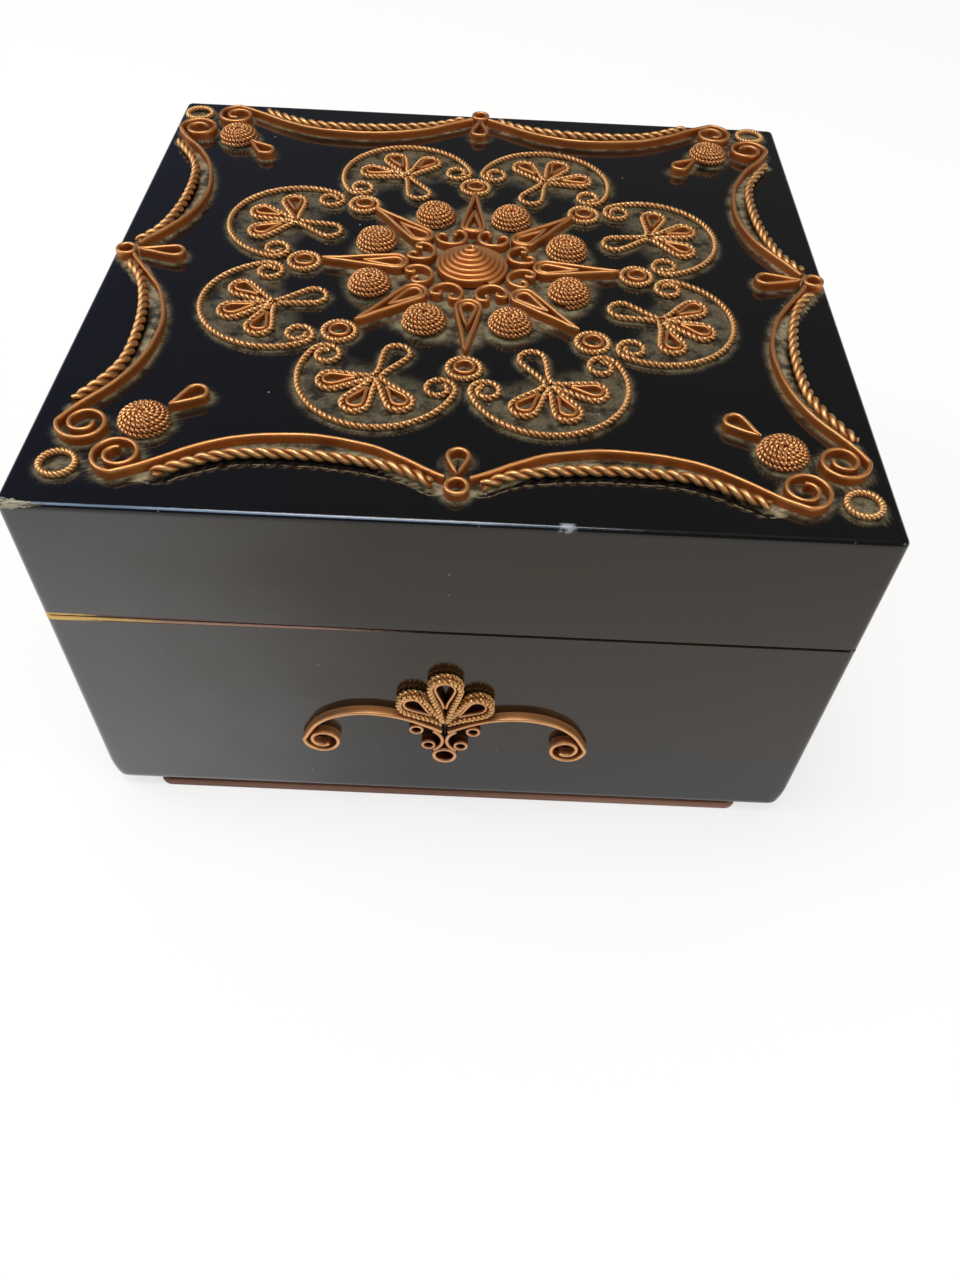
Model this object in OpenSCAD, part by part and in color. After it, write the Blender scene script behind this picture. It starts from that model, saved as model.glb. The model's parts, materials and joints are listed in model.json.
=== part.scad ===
// Lacquered jewelry box: a square hinged wooden box with twisted and rolled copper wire ornament.
// Millimetres. The origin is the centre of the underside of the foot board, +Z up, the front faces -Y.

/* [Box] */
// Width and depth of the square box
box_w = 150; // [144:1:170]
// Height of the base boards, without the foot board
base_h = 56; // [50:1:70]
// Height of the lid
lid_h = 27.7; // [24:0.1:36]
// Gap between the rims of the base and the lid
seam_gap = 0.3; // [0.25:0.05:0.5]
// Thickness of the wall boards
board_t = 9; // [8.5:0.5:11]
// Thickness of the lid's top board
top_t = 6; // [5:0.5:8]
// Thickness of the floor board
floor_t = 3; // [2:0.5:5]
// Rounding of the upright corners
corner_r = 1.5; // [0.5:0.1:3]
// Rounding of the bottom edge
bottom_r = 2; // [1:0.1:4]
// Rounding of the top edge
top_r = 1; // [0.5:0.1:2]

/* [Foot board] */
// Thickness of the foot board
foot_t = 2; // [1.5:0.1:4]
// Distance from the side faces to the foot board, whose ends are flush with the front and the back
foot_side_in = 9.3; // [1:0.1:15]
// Corner radius of the foot board
foot_corner_r = 3.4; // [2:0.1:15]

/* [Lip and lining] */
// Thickness of the pale wooden lip inside the base
lip_t = 2.2; // [1.8:0.1:3]
// Height of the lip above the rim of the base
lip_rise = 3; // [2:0.5:5]
// Clearance between the lip and the inside of the lid
lip_clear = 0.4; // [0.3:0.1:0.8]
// Thickness of the lining
lining_t = 1; // [0.6:0.1:1.5]
// How far the base lining ends below the top of the lip
lining_drop = 0.8; // [0.5:0.1:1.5]
// Thickness of the pad on the floor
pad_t = 4; // [3:0.5:6]
// Thickness of the pad under the lid's top
lid_pad_t = 1.5; // [1:0.1:3]
// Clearance round the soft pieces
soft_gap = 0.3; // [0.2:0.1:0.5]

/* [Hinges] */
// Length of each hinge
hinge_len = 22; // [18:1:28]
// Distance from the side faces to the middle of each hinge
hinge_in = 33; // [27:1:45]
// Radius of the hinge barrel
barrel_r = 1.7; // [1.5:0.1:1.9]
// Radius of the hinge pin
pin_r = 0.6; // [0.5:0.05:0.8]
// Running clearance round the pin
pin_clear = 0.05; // [0.03:0.01:0.08]
// Thickness of a hinge leaf
leaf_t = 0.9; // [0.8:0.1:1.1]
// Reach of a hinge leaf from the pin towards the inside
leaf_w = 6; // [5.6:0.1:6.2]
// Distance from the back face to the hinge axis
axis_inset = 2.4; // [2.1:0.1:2.6]
// Gap between hinge pieces that move past each other
hinge_gap = 0.3; // [0.25:0.05:0.4]
// Angle at which the bevels stop the lid
lid_open = 100; // [90:1:110]
// Radius of the screw heads
screw_head_r = 1.25; // [1:0.05:1.4]
// Radius of the screw shanks
screw_r = 0.6; // [0.5:0.05:0.8]
// Length of the screws
screw_len = 6; // [4:0.5:8]
// Clearance round the screws
screw_clear = 0.05; // [0.03:0.01:0.1]

/* [Wire] */
// Thickness of the flat ribbon wire
ribbon_t = 0.75; // [0.6:0.05:0.85]
// Height at which the ribbon wire stands
ribbon_h = 2; // [1.5:0.1:3.5]
// Thickness of the fine plain wire
fine_t = 0.55; // [0.4:0.05:0.65]
// Height at which the fine wire stands
fine_h = 1.4; // [1:0.1:2.5]
// Diameter of the twisted cord wire
cord_d = 1.3; // [1.1:0.05:1.4]
// Diameter of the thick twisted wire along the edges
thick_d = 2; // [1.6:0.1:2.1]
// Gap between wires that lie side by side
wire_gap = 0.12; // [0.1:0.01:0.2]
// Gap between neighbouring ornaments
piece_gap = 0.4; // [0.3:0.05:0.5]

/* [Coiled pieces] */
// Radius of the middle cone
cone_r = 7.9; // [7.5:0.1:8.2]
// Height that the cone's ribbon climbs
cone_rise = 4.2; // [3:0.1:5]
// Height of the cone's ribbon
cone_band_h = 1.7; // [1:0.1:2.5]
// Thickness of the cone's ribbon
cone_band_t = 0.58; // [0.45:0.01:0.59]
// Turns of the cone's ribbon
cone_turns = 7; // [5:1:7]
// Radius of the coiled rosettes
rosette_r = 4.6; // [4.4:0.1:4.8]
// Height that a rosette's wire climbs
rosette_rise = 3; // [1.5:0.1:3.5]
// Thickness of a rosette's wire
rosette_wire = 0.5; // [0.4:0.01:0.52]
// Turns of a rosette's wire
rosette_turns = 4; // [2.5:0.5:4]

/* [Medallion] */
// Width of the band between the box's edge and the medallion
band_w = 18; // [17.5:0.1:20]
// How far all the ornament of the lid sits behind the lid's middle
ornament_back = 0.9; // [0:0.1:2]
// Radius of the medallion that the sizes of its pieces below, and of the cone, are for
plan_r = 57; // [55:0.5:62]
// Distance from the middle to the coiled rosettes
rosette_at = 22; // [21.5:0.1:22.5]
// Radius of the small scrolls round the cone
scroll_r = 3.2; // [3:0.05:3.3]
// Radius of the coils at the ends of the small scrolls
scroll_curl_r = 1.25; // [1.2:0.05:1.3]
// Half the width of the long drops
star_r = 2.85; // [2.6:0.05:3]
// Radius of the twisted rings between the petals
joint_r = 3.8; // [3.5:0.05:4]
// Starting radius of the curls at the ends of the petals
petal_curl_r = 3.1; // [2.9:0.05:3.2]
// Half the width of the loops inside the petals
loop_r = 3.15; // [2.9:0.05:3.2]
// Angle between the petal's axis and its side loops
loop_turn = 57; // [55:1:62]

/* [Border] */
// Distance from the edge to the ribbon at the middle of a side
wave_low = 8.5; // [8.4:0.1:9]
// Distance from the edge to the ribbon at its crest
wave_high = 17.4; // [16.5:0.1:18.4]
// Distance from the edge to the ribbon where its spiral begins
wave_end = 6; // [5.6:0.1:6.2]
// Distance from the side edges to the middle of each spiral
spiral_in = 18.5; // [18.2:0.1:19]
// Starting radius of the spirals
spiral_r = 4.7; // [4.4:0.1:4.8]
// Distance from the edge to the twisted wire at the middle of a side
thick_low = 7.5; // [7.3:0.1:7.7]
// Distance from the edge to the twisted wire at its crest
thick_high = 13.1; // [12.8:0.1:13.2]
// Radius of the ring at the middle of a side
mid_ring_r = 2.2; // [2:0.05:2.3]
// Length of the drop at the middle of a side
mid_drop_len = 7.2; // [6.5:0.1:8]
// Half the width of the drops at the sides and corners
edge_drop_r = 2.2; // [2:0.05:2.4]
// Radius of the twisted ring in each corner
corner_ring_r = 3.65; // [3.3:0.05:3.8]
// Distance from both edges to the middle of that ring
corner_ring_at = 8.7; // [8.3:0.1:8.9]
// Length of the drop in each corner
corner_drop_len = 8; // [7:0.1:8.5]

/* [Wire laid by hand] */
// How far the front left corner group lies left of an even layout
front_left_out = 0.8; // [0:0.1:1.5]
// How far the front right corner group lies right of it
front_right_out = 2.3; // [0:0.1:2.5]
// How far the front right corner group lies forward of it
front_right_on = 1.2; // [0:0.1:2]
// How far the back right corner group lies right of it
back_right_out = 1.7; // [0:0.1:2.5]
// How far the back right corner group lies back of it
back_right_on = 1.8; // [0:0.1:2]
// How far the back left corner group lies left of it
back_left_out = 3.8; // [0:0.1:4]
// How far the ring at the middle of the right side lies out of it
right_ring_out = 3.2; // [0:0.1:3.4]
// How far the ring at the middle of the back lies out of it
back_ring_out = 1.5; // [0:0.1:2]
// How far the ring at the middle of the left side lies out of it
left_ring_out = 3.2; // [0:0.1:3.4]

/* [Front ornament] */
// Sideways place of the front ornament
front_x = -1; // [-3:0.5:3]
// Distance of the front ornament below the middle of the base
front_low = 1.4; // [0:0.1:4]
// Half the width of the front ornament
front_w = 29.3; // [27:0.1:32]
// Height of the crest above the middle of the front ornament
front_crest = 5.4; // [5:0.1:6.5]
// Starting radius of the spirals at both ends
front_spiral_r = 4; // [3.6:0.1:4.2]
// Length of the upright drop
front_drop_len = 14.3; // [13:0.1:16]
// Length of the two leaning drops
front_side_len = 11.6; // [11:0.1:12]
// Half the width of the upright drop
front_drop_r = 3.7; // [3.4:0.05:3.8]
// Half the width of the leaning drops
front_side_r = 3.45; // [3.1:0.05:3.5]
// Angle between the upright and the leaning drops
front_turn = 49; // [48:1:52]
// Height of the drops' tips above the middle
front_tip = 3.4; // [3.2:0.1:4]
// Radius of the back-to-back curls under the middle
front_curl_r = 3.85; // [3.7:0.05:4]
// Distance from the middle down to the centres of these curls
front_curl_drop = 3.2; // [3.1:0.1:3.6]
// Radius of the small rings
front_ring_r = 1.5; // [1.3:0.05:1.6]
// Distance of the upper small rings from the ornament's middle line
front_ring_out = 5.8; // [5.6:0.1:6.2]
// Height of the upper small rings above the middle
front_ring_up = 0.5; // [0.3:0.1:0.6]
// Radius of the lowest ring
front_low_ring_r = 2.6; // [2.3:0.05:2.8]

/* [Hidden] */

$fn = 48;
half_w = box_w / 2;
overrun = 1;
lacquer = "#15151a";
pale_wood = "#d8b070";
foot_brown = "#6b3a24";
velvet = "#5a1420";
brass = "#b8944a";
copper = "#c07a45";

// Levels from the ground up
base_z = foot_t;
rim_z = base_z + base_h;
lid_z = rim_z + seam_gap;
top_z = lid_z + lid_h;
ceiling_z = top_z - top_t;
hinge_z = rim_z + seam_gap / 2;
hinge_y = half_w - axis_inset;
lip_top_z = rim_z + lip_rise;
floor_z = base_z + floor_t;
in_w = half_w - board_t;
lining_w = in_w - lip_t;
lid_lining_z = lip_top_z + lip_clear;

// Plane curves

rounding_steps = 5;
function polar(r, a) = [r * cos(a), r * sin(a)];
function turned(v) = [-v[1], v[0]];
function unit(v) = v / norm(v);
function spiral(c, r0, r1, a0, a1, n) =
    [for (i = [0:n]) c + polar(r0 + (r1 - r0) * i / n, a0 + (a1 - a0) * i / n)];
function tail(p) = [for (i = [1:len(p) - 1]) p[i]];
function head(p) = [for (i = [0:len(p) - 2]) p[i]];

// A smooth curve through points, with n steps between two of them
function blend(a, b, c, d, t) =
    ((2 * b) + (c - a) * t + (2 * a - 5 * b + 4 * c - d) * t * t + (3 * b - a - 3 * c + d) * t * t * t) / 2;
function through(p, n) = concat(
    [for (i = [0:len(p) - 2]) for (j = [0:n - 1])
        blend(p[max(i - 1, 0)], p[i], p[i + 1], p[min(i + 2, len(p) - 1)], j / n)],
    [p[len(p) - 1]]);

// Outline of a wire of width w along the points p
function across(p, i) = unit(turned(p[min(i + 1, len(p) - 1)] - p[max(i - 1, 0)]));
function outline(p, w) = concat(
    [for (i = [0:len(p) - 1]) p[i] + across(p, i) * w / 2],
    [for (i = [len(p) - 1:-1:0]) p[i] - across(p, i) * w / 2]);

module wire(p, w, h) {
    linear_extrude(h) polygon(outline(p, w));
}

module ring(r, t, h) {
    difference() {
        cylinder(r = r, h = h);
        translate([0, 0, -overrun]) cylinder(r = r - t, h = h + 2 * overrun);
    }
}

// A drop with its tip at the origin and its round end along +X
drop_steps = 12;
function drop_angle(len, r) = asin(r / (len - r));
// The outline's arc runs from one touching point of the flanks round the far side to the other
function drop_outline(reach, a, r) = concat(
    [[reach - r / sin(a), 0]],
    [for (i = [0:drop_steps]) [reach, 0] + polar(r, -(90 + a) + (180 + 2 * a) * i / drop_steps)]);

module drop(len, r, t, h) {
    reach = len - r;
    a = drop_angle(len, r);
    linear_extrude(h) difference() {
        polygon(drop_outline(reach, a, r));
        polygon(drop_outline(reach, a, r - t));
    }
}

// A drop laid inside another one, round end in round end, with the given gap; it takes that share of the
// length at which its flanks would run beside the outer one's all the way
module drop_in(len, r, t, gap, core_t, share, h) {
    core_r = r - t - gap;
    core_len = core_r + (len - r) * core_r / r * share;
    translate([len - r + core_r - core_len, 0, 0]) drop(core_len, core_r, core_t, h);
}

// A scroll: an arc of radius r open towards -X, whose ends curl inwards
function scroll(r, a, curl_r, curl_end, curl_turn, n, m) = concat(
    head(spiral(polar(r - curl_r, a), curl_end, curl_r, a + curl_turn, a, m)),
    spiral([0, 0], r, r, a, -a, n),
    tail(spiral(polar(r - curl_r, -a), curl_r, curl_end, -a, -a - curl_turn, m)));

module around(n, first) {
    for (i = [0:n - 1]) rotate([0, 0, first + i * 360 / n]) children();
}

module on_lid() {
    translate([0, ornament_back, top_z]) children();
}

// Coils wound from one band: the outer turn lies on the lid and the band climbs inwards

coil_steps = 14;
cone_steps = 20;
function coil_path(r0, r1, turns, rise, steps) = [
    for (i = [0:turns * steps])
        let (f = i / (turns * steps), r = r0 + (r1 - r0) * f)
        [r * cos(i * 360 / steps), r * sin(i * 360 / steps), rise * f]];
function coil_gap(p, steps, w) = min([
    for (i = [0:len(p) - 1 - steps]) norm([p[i][0] - p[i + steps][0], p[i][1] - p[i + steps][1]])]) - w;

// A band of width w and height h swept along a coil, square to the ground
module coil(p, w, h) {
    n = len(p);
    corners = [for (i = [0:n - 1])
        let (o = unit([p[i][0], p[i][1]]) * w / 2)
        each [
            p[i] + [-o[0], -o[1], 0], p[i] + [o[0], o[1], 0],
            p[i] + [o[0], o[1], h], p[i] + [-o[0], -o[1], h]]];
    sides = [for (i = [0:n - 2]) for (k = [0:3])
        let (a = 4 * i + k, b = 4 * i + (k + 1) % 4)
        each [[a, a + 4, b + 4], [a, b + 4, b]]];
    caps = [[0, 1, 2], [0, 2, 3], [4 * n - 1, 4 * n - 2, 4 * n - 3], [4 * n - 1, 4 * n - 3, 4 * n - 4]];
    polyhedron(corners, concat(sides, caps));
}

function rosette_coil(r) = coil_path(r - rosette_wire / 2, rosette_wire, rosette_turns, rosette_rise, coil_steps);

// Wooden box

// A rectangle with two lower and two upper roundings
function rounded(w, z0, z1, r0, r1) = concat(
    [for (i = [0:rounding_steps]) [w - r0, z0 + r0] + polar(r0, -90 + 90 * i / rounding_steps)],
    [for (i = [0:rounding_steps]) [w - r1, z1 - r1] + polar(r1, 90 * i / rounding_steps)],
    [for (i = [0:rounding_steps]) [-w + r1, z1 - r1] + polar(r1, 90 + 90 * i / rounding_steps)],
    [for (i = [0:rounding_steps]) [-w + r0, z0 + r0] + polar(r0, 180 + 90 * i / rounding_steps)]);

module closed_form() {
    intersection() {
        rotate([90, 0, 0]) linear_extrude(box_w, center = true)
            polygon(rounded(half_w, base_z, top_z, bottom_r, top_r));
        rotate([90, 0, 90]) linear_extrude(box_w, center = true)
            polygon(rounded(half_w, base_z, top_z, bottom_r, top_r));
        translate([0, 0, base_z]) linear_extrude(top_z - base_z)
            polygon(rounded(half_w, -half_w, half_w, corner_r, corner_r));
    }
}

// One mitred board on the -Y side, from the outer half width w inwards by t
module mitred(w, t, z0, z1) {
    translate([0, 0, z0]) linear_extrude(z1 - z0)
        polygon([[-w, -w], [w, -w], [w - t, -w + t], [-w + t, -w + t]]);
}

module wall(turn, z0, z1) {
    intersection() {
        closed_form();
        rotate([0, 0, turn]) mitred(half_w, board_t, z0, z1);
    }
}

// The wedge cut along the back edges of base and lid, whose two faces meet when the lid is open
module back_bevel() {
    reach = axis_inset + overrun;
    rise = reach * tan(lid_open / 2);
    open = hinge_gap / 2 / cos(lid_open / 2);
    translate([0, hinge_y, hinge_z]) rotate([90, 0, 90])
        linear_extrude(box_w + 2 * overrun, center = true)
        polygon([[-open / tan(lid_open / 2), 0], [reach, -rise - open], [reach, rise + open]]);
}

hinge_x = half_w - hinge_in;

module hinge_places() {
    for (side = [-1, 1]) translate([side * hinge_x, hinge_y, hinge_z]) children();
}

// Room for the barrels, the leaves and the screws of both hinges, in the base or in the lid
module hinge_room(up) {
    channel_r = barrel_r + hinge_gap;
    hinge_places() {
        rotate([0, 90, 0]) cylinder(r = channel_r, h = hinge_len + 2 * hinge_gap, center = true);
        mirror([0, 0, up ? 0 : 1]) {
            translate([-hinge_len / 2, -leaf_w, 0])
                cube([hinge_len, leaf_w, seam_gap / 2 + leaf_t]);
            screw_places() cylinder(r = screw_r + screw_clear, h = screw_len + overrun);
        }
    }
}

leaf_plate_w = leaf_w - barrel_r - hinge_gap;
screw_out = hinge_len / 4;

module screw_places() {
    for (side = [-1, 1]) translate([side * screw_out, -leaf_w + leaf_plate_w / 2, seam_gap / 2]) children();
}

module base_wall(turn) {
    color(lacquer) difference() {
        wall(turn, base_z, rim_z);
        if (turn != 0) back_bevel();
        if (turn == 180) hinge_room(false);
    }
}

module lid_wall(turn) {
    color(lacquer) difference() {
        wall(turn, lid_z, ceiling_z);
        if (turn != 0) back_bevel();
        if (turn == 180) hinge_room(true);
    }
}

module base_front() { base_wall(0); }
module base_right() { base_wall(90); }
module base_back() { base_wall(180); }
module base_left() { base_wall(270); }
module lid_front() { lid_wall(0); }
module lid_right() { lid_wall(90); }
module lid_back() { lid_wall(180); }
module lid_left() { lid_wall(270); }

module lid_top() {
    color(lacquer) intersection() {
        closed_form();
        translate([-half_w, -half_w, ceiling_z]) cube([box_w, box_w, top_t]);
    }
}

module base_floor() {
    color(pale_wood) translate([-in_w, -in_w, base_z]) cube([2 * in_w, 2 * in_w, floor_t]);
}

module foot_board() {
    color(foot_brown) linear_extrude(foot_t)
        polygon(rounded(half_w - foot_side_in, -half_w, half_w, foot_corner_r, foot_corner_r));
}

// Lip, linings and pads

// The lip stands against the wall below the rim and is set back above it, to slip into the lid
module lip(turn) {
    set_back = in_w - lip_clear;
    color(pale_wood) rotate([0, 0, turn]) {
        mitred(in_w, lip_t, floor_z, rim_z);
        mitred(set_back, lip_t - lip_clear, rim_z, lip_top_z);
    }
}

module lip_front() { lip(0); }
module lip_right() { lip(90); }
module lip_back() { lip(180); }
module lip_left() { lip(270); }

module base_lining(turn) {
    color(velvet) rotate([0, 0, turn]) mitred(lining_w, lining_t, floor_z, lip_top_z - lining_drop);
}

module lid_lining(turn) {
    color(velvet) rotate([0, 0, turn]) mitred(in_w, lining_t, lid_lining_z, ceiling_z);
}

module base_lining_front() { base_lining(0); }
module base_lining_right() { base_lining(90); }
module base_lining_back() { base_lining(180); }
module base_lining_left() { base_lining(270); }
module lid_lining_front() { lid_lining(0); }
module lid_lining_right() { lid_lining(90); }
module lid_lining_back() { lid_lining(180); }
module lid_lining_left() { lid_lining(270); }

module base_pad() {
    w = lining_w - lining_t - soft_gap;
    color(velvet) translate([-w, -w, floor_z]) cube([2 * w, 2 * w, pad_t]);
}

module lid_pad() {
    w = in_w - lining_t - soft_gap;
    color(velvet) translate([-w, -w, ceiling_z - lid_pad_t]) cube([2 * w, 2 * w, lid_pad_t]);
}

// Hinges: the base leaf has the two outer knuckles and the lid leaf the middle one

knuckle_len = (hinge_len - 2 * hinge_gap) / 3;
knuckle_step = knuckle_len + hinge_gap;

// A knuckle with the tongue that joins it to its leaf, drawn as one section along the pin
module knuckle() {
    tongue = barrel_r + hinge_gap + overrun;
    rotate([90, 0, 90]) linear_extrude(knuckle_len, center = true) {
        circle(barrel_r);
        translate([-tongue, seam_gap / 2]) square([tongue, leaf_t]);
    }
}

module leaf(knuckles) {
    difference() {
        union() {
            translate([-hinge_len / 2, -leaf_w, seam_gap / 2]) cube([hinge_len, leaf_plate_w, leaf_t]);
            for (k = knuckles) translate([k * knuckle_step, 0, 0]) knuckle();
        }
        rotate([0, 90, 0]) cylinder(r = pin_r + pin_clear, h = hinge_len + 2 * overrun, center = true);
        screw_places() screw_form(screw_clear);
    }
}

// A countersunk screw whose head is flush with the leaf, with the clearance grown round its head and shank
module screw_form(grow) {
    cone_h = screw_head_r + 2 * grow;
    translate([0, 0, -grow]) {
        cylinder(r1 = cone_h, r2 = 0, h = cone_h);
        cylinder(r = screw_r + grow, h = screw_len + grow);
    }
}

module base_leaf(side) {
    color(brass) translate([side * hinge_x, hinge_y, hinge_z]) mirror([0, 0, 1]) leaf([-1, 1]);
}

module lid_leaf(side) {
    color(brass) translate([side * hinge_x, hinge_y, hinge_z]) leaf([0]);
}

module hinge_pin(side) {
    color(brass) translate([side * hinge_x, hinge_y, hinge_z])
        rotate([0, 90, 0]) cylinder(r = pin_r, h = hinge_len, center = true);
}

module hinge_base_leaf_left() { base_leaf(-1); }
module hinge_base_leaf_right() { base_leaf(1); }
module hinge_lid_leaf_left() { lid_leaf(-1); }
module hinge_lid_leaf_right() { lid_leaf(1); }
module hinge_pin_left() { hinge_pin(-1); }
module hinge_pin_right() { hinge_pin(1); }

module hinge_base_screws() {
    color(brass) hinge_places() mirror([0, 0, 1]) screw_places() screw_form(0);
}

module hinge_lid_screws() {
    color(brass) hinge_places() screw_places() screw_form(0);
}

// Medallion on the lid

petals = 8;
sector = 360 / petals;
medallion_r = half_w - band_w;

// A size of the medallion's plan, laid out at the radius that the border leaves
function laid(size) = size * medallion_r / plan_r;

cone_out = laid(cone_r);
cone_path = coil_path(cone_out - cone_band_t / 2, cone_band_t, cone_turns, cone_rise, cone_steps);
rosette_out = laid(rosette_r);
rosette_path = rosette_coil(rosette_out);
echo(cone_least_gap = coil_gap(cone_path, cone_steps, cone_band_t));
echo(rosette_least_gap = coil_gap(rosette_path, coil_steps, rosette_wire));

// The petals fill the ring evenly, with one gap between two neighbours
petal_at = (medallion_r + piece_gap / 2) / (1 + sin(sector / 2));
petal_r = medallion_r - petal_at - cord_d / 2;
petal_open = 97;
petal_curl_turn = 440;
curl_out = laid(petal_curl_r);
petal_curl_end_r = curl_out - (cord_d + wire_gap) * petal_curl_turn / 360;

// Where a circle on a side line has to sit to clear a round piece at a point by the given distance
function inner_place(p, need) = p[0] - sqrt(need * need - p[1] * p[1]);
function outer_place(p, need) = p[0] + sqrt(max(need * need - p[1] * p[1], 0));
function seen_from(p, a) = [p[0] * cos(a) + p[1] * sin(a), p[1] * cos(a) - p[0] * sin(a)];

joint_out = laid(joint_r);
petal_curl_mid = [petal_at, 0] + polar(petal_r - curl_out, petal_open);
joint_at = inner_place(
    seen_from(petal_curl_mid, sector / 2), joint_out + curl_out + cord_d / 2 + piece_gap);

scroll_open = 105;
scroll_curl_turn = 200;
scroll_out = laid(scroll_r);
scroll_curl_out = laid(scroll_curl_r);
scroll_curl_end_r = scroll_curl_out - (ribbon_t + wire_gap) * scroll_curl_turn / 360;
scroll_at = cone_out + piece_gap + ribbon_t / 2 + scroll_out;
scroll_curl_mid = [scroll_at, 0] - polar(scroll_out - scroll_curl_out, scroll_open);

star_out = laid(star_r);
star_tip = joint_at - joint_out - piece_gap / 2;
star_at = max(
    outer_place(seen_from([scroll_curl_mid[0], abs(scroll_curl_mid[1])], sector / 2),
        star_out + scroll_curl_out + ribbon_t / 2 + piece_gap),
    outer_place(seen_from([scroll_at, 0], sector / 2), star_out + scroll_out + ribbon_t / 2 + piece_gap));
star_len = star_tip - star_at + star_out;
star_core_share = 0.65;

module centre_cone() {
    color(copper) on_lid() coil(cone_path, cone_band_t, cone_band_h);
}

module centre_scrolls() {
    path = scroll(scroll_out, scroll_open, scroll_curl_out, scroll_curl_end_r, scroll_curl_turn, 16, 8);
    color(copper) on_lid() around(petals, sector / 2)
        translate([scroll_at, 0, 0]) rotate([0, 0, 180]) wire(path, ribbon_t, ribbon_h);
}

// Drops point outwards, so their tips lie at the far end
module star_drops() {
    color(copper) on_lid() around(petals, 0)
        translate([star_tip, 0, 0]) rotate([0, 0, 180]) drop(star_len, star_out, ribbon_t, ribbon_h);
}

module star_inner_drops() {
    color(copper) on_lid() around(petals, 0) translate([star_tip, 0, 0]) rotate([0, 0, 180])
        drop_in(star_len, star_out, ribbon_t, wire_gap, ribbon_t, star_core_share, ribbon_h);
}

module rosettes() {
    color(copper) on_lid() around(petals, sector / 2)
        translate([laid(rosette_at), 0, 0]) coil(rosette_path, rosette_wire, rosette_wire);
}

module joint_rings() {
    color(copper) on_lid() around(petals, 0) translate([joint_at, 0, 0]) ring(joint_out, cord_d, cord_d);
}

module joint_cores() {
    color(copper) on_lid() around(petals, 0) translate([joint_at, 0, 0])
        ring(joint_out - cord_d - piece_gap, fine_t, fine_h);
}

module petal_scrolls() {
    path = scroll(petal_r, petal_open, curl_out, petal_curl_end_r, petal_curl_turn, 24, 18);
    color(copper) on_lid() around(petals, sector / 2)
        translate([petal_at, 0, 0]) wire(path, cord_d, cord_d);
}

// Four loops meet at a point near the middle of each petal, with one small gap between their tips
loop_clear = 2.2;
loop_shift = 0.6;
loop_out = laid(loop_r);
loop_len = petal_r - cord_d / 2 - laid(loop_clear) - laid(loop_shift) - piece_gap;
loop_wire_share = 1;

module in_petals(turns) {
    on_lid() around(petals, sector / 2) translate([petal_at + laid(loop_shift), 0, 0])
        for (turn = turns) rotate([0, 0, turn]) translate([piece_gap, 0, 0]) children();
}

module petal_loops() {
    color(copper) in_petals([0, loop_turn, -loop_turn, 180]) drop(loop_len, loop_out, cord_d, cord_d);
}

module petal_wires() {
    color(copper) in_petals([0, loop_turn, -loop_turn])
        drop_in(loop_len, loop_out, cord_d, wire_gap, fine_t, loop_wire_share, fine_h);
}

// Border along the four edges of the lid

// Shares of the way from the middle of a side to the spiral, and of the rise from low to high
wave_shares = [
    [0, 0], [0.055, 0.18], [0.147, 0.52], [0.24, 0.8], [0.38, 1], [0.52, 1], [0.66, 0.85],
    [0.789, 0.5], [0.917, -0.02]];
thick_shares = [
    [0, 0], [0.13, 0.6], [0.38, 0.98], [0.66, 1], [0.82, 0.7], [1, -0.1]];
wave_start = 2.1;
thick_start = 4.2;
thick_stop = 6.5;
spiral_turn = 540;
spiral_end_r = 1.6;
spiral_mid = [half_w - spiral_in, wave_end + spiral_r];

function placed(shares, x0, x1, low, high) = [
    for (s = shares) [x0 + (x1 - x0) * s[0], low + (high - low) * s[1]]];
wave_path = concat(
    through(concat(
        placed(wave_shares, wave_start, spiral_mid[0], wave_low, wave_high), [[spiral_mid[0], wave_end]]), 3),
    tail(spiral(spiral_mid, spiral_r, spiral_end_r, -90, -90 + spiral_turn, 26)));
thick_path = through(
    placed(thick_shares, thick_start, spiral_mid[0] - thick_stop, thick_low, thick_high), 3);

// Sides and corners are counted from the front and the front left, to the right
sides = [0 : 3];
corner_shifts = [
    [-front_left_out, 0], [front_right_out, -front_right_on],
    [back_right_out, back_right_on], [-back_left_out, 0]];
ring_shifts = [0, right_ring_out, back_ring_out, left_ring_out];

// A shift on the lid as seen from a side, for its right half (way 1) or its mirrored left half (way -1)
function from_side(shift, turn, way) = [
    way * (shift[0] * cos(turn) + shift[1] * sin(turn)), shift[1] * cos(turn) - shift[0] * sin(turn)];

// A path of the border, bent to where the wire was laid between the middle ring and the corner
wave_run = spiral_mid[0] - spiral_r - wave_start;

function hand_laid(path, side, way) =
    let (to_corner = from_side(corner_shifts[way > 0 ? (side + 1) % 4 : side], 90 * side, way))
    [for (p = path) let (run = min(1, max(0, (p[0] - wave_start) / wave_run)))
        p + run * to_corner - [0, pow(1 - run, 2) * ring_shifts[side]]];

module on_side(side) {
    on_lid() rotate([0, 0, 90 * side]) translate([0, -half_w, 0]) children();
}

module both_ways() {
    children();
    mirror([1, 0, 0]) children();
}

module border_wire(path, side, t, h) {
    on_side(side) for (way = [-1, 1]) mirror([1 - way, 0, 0]) wire(hand_laid(path, side, way), t, h);
}

module border_ribbon_front() { color(copper) border_wire(wave_path, 0, ribbon_t, ribbon_h); }
module border_ribbon_right() { color(copper) border_wire(wave_path, 1, ribbon_t, ribbon_h); }
module border_ribbon_back() { color(copper) border_wire(wave_path, 2, ribbon_t, ribbon_h); }
module border_ribbon_left() { color(copper) border_wire(wave_path, 3, ribbon_t, ribbon_h); }

module border_cords() {
    color(copper) for (side = sides) border_wire(thick_path, side, thick_d, thick_d);
}

mid_ring_at = wave_low - sqrt(pow(mid_ring_r + ribbon_t / 2 + piece_gap, 2) - pow(wave_start, 2));

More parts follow.
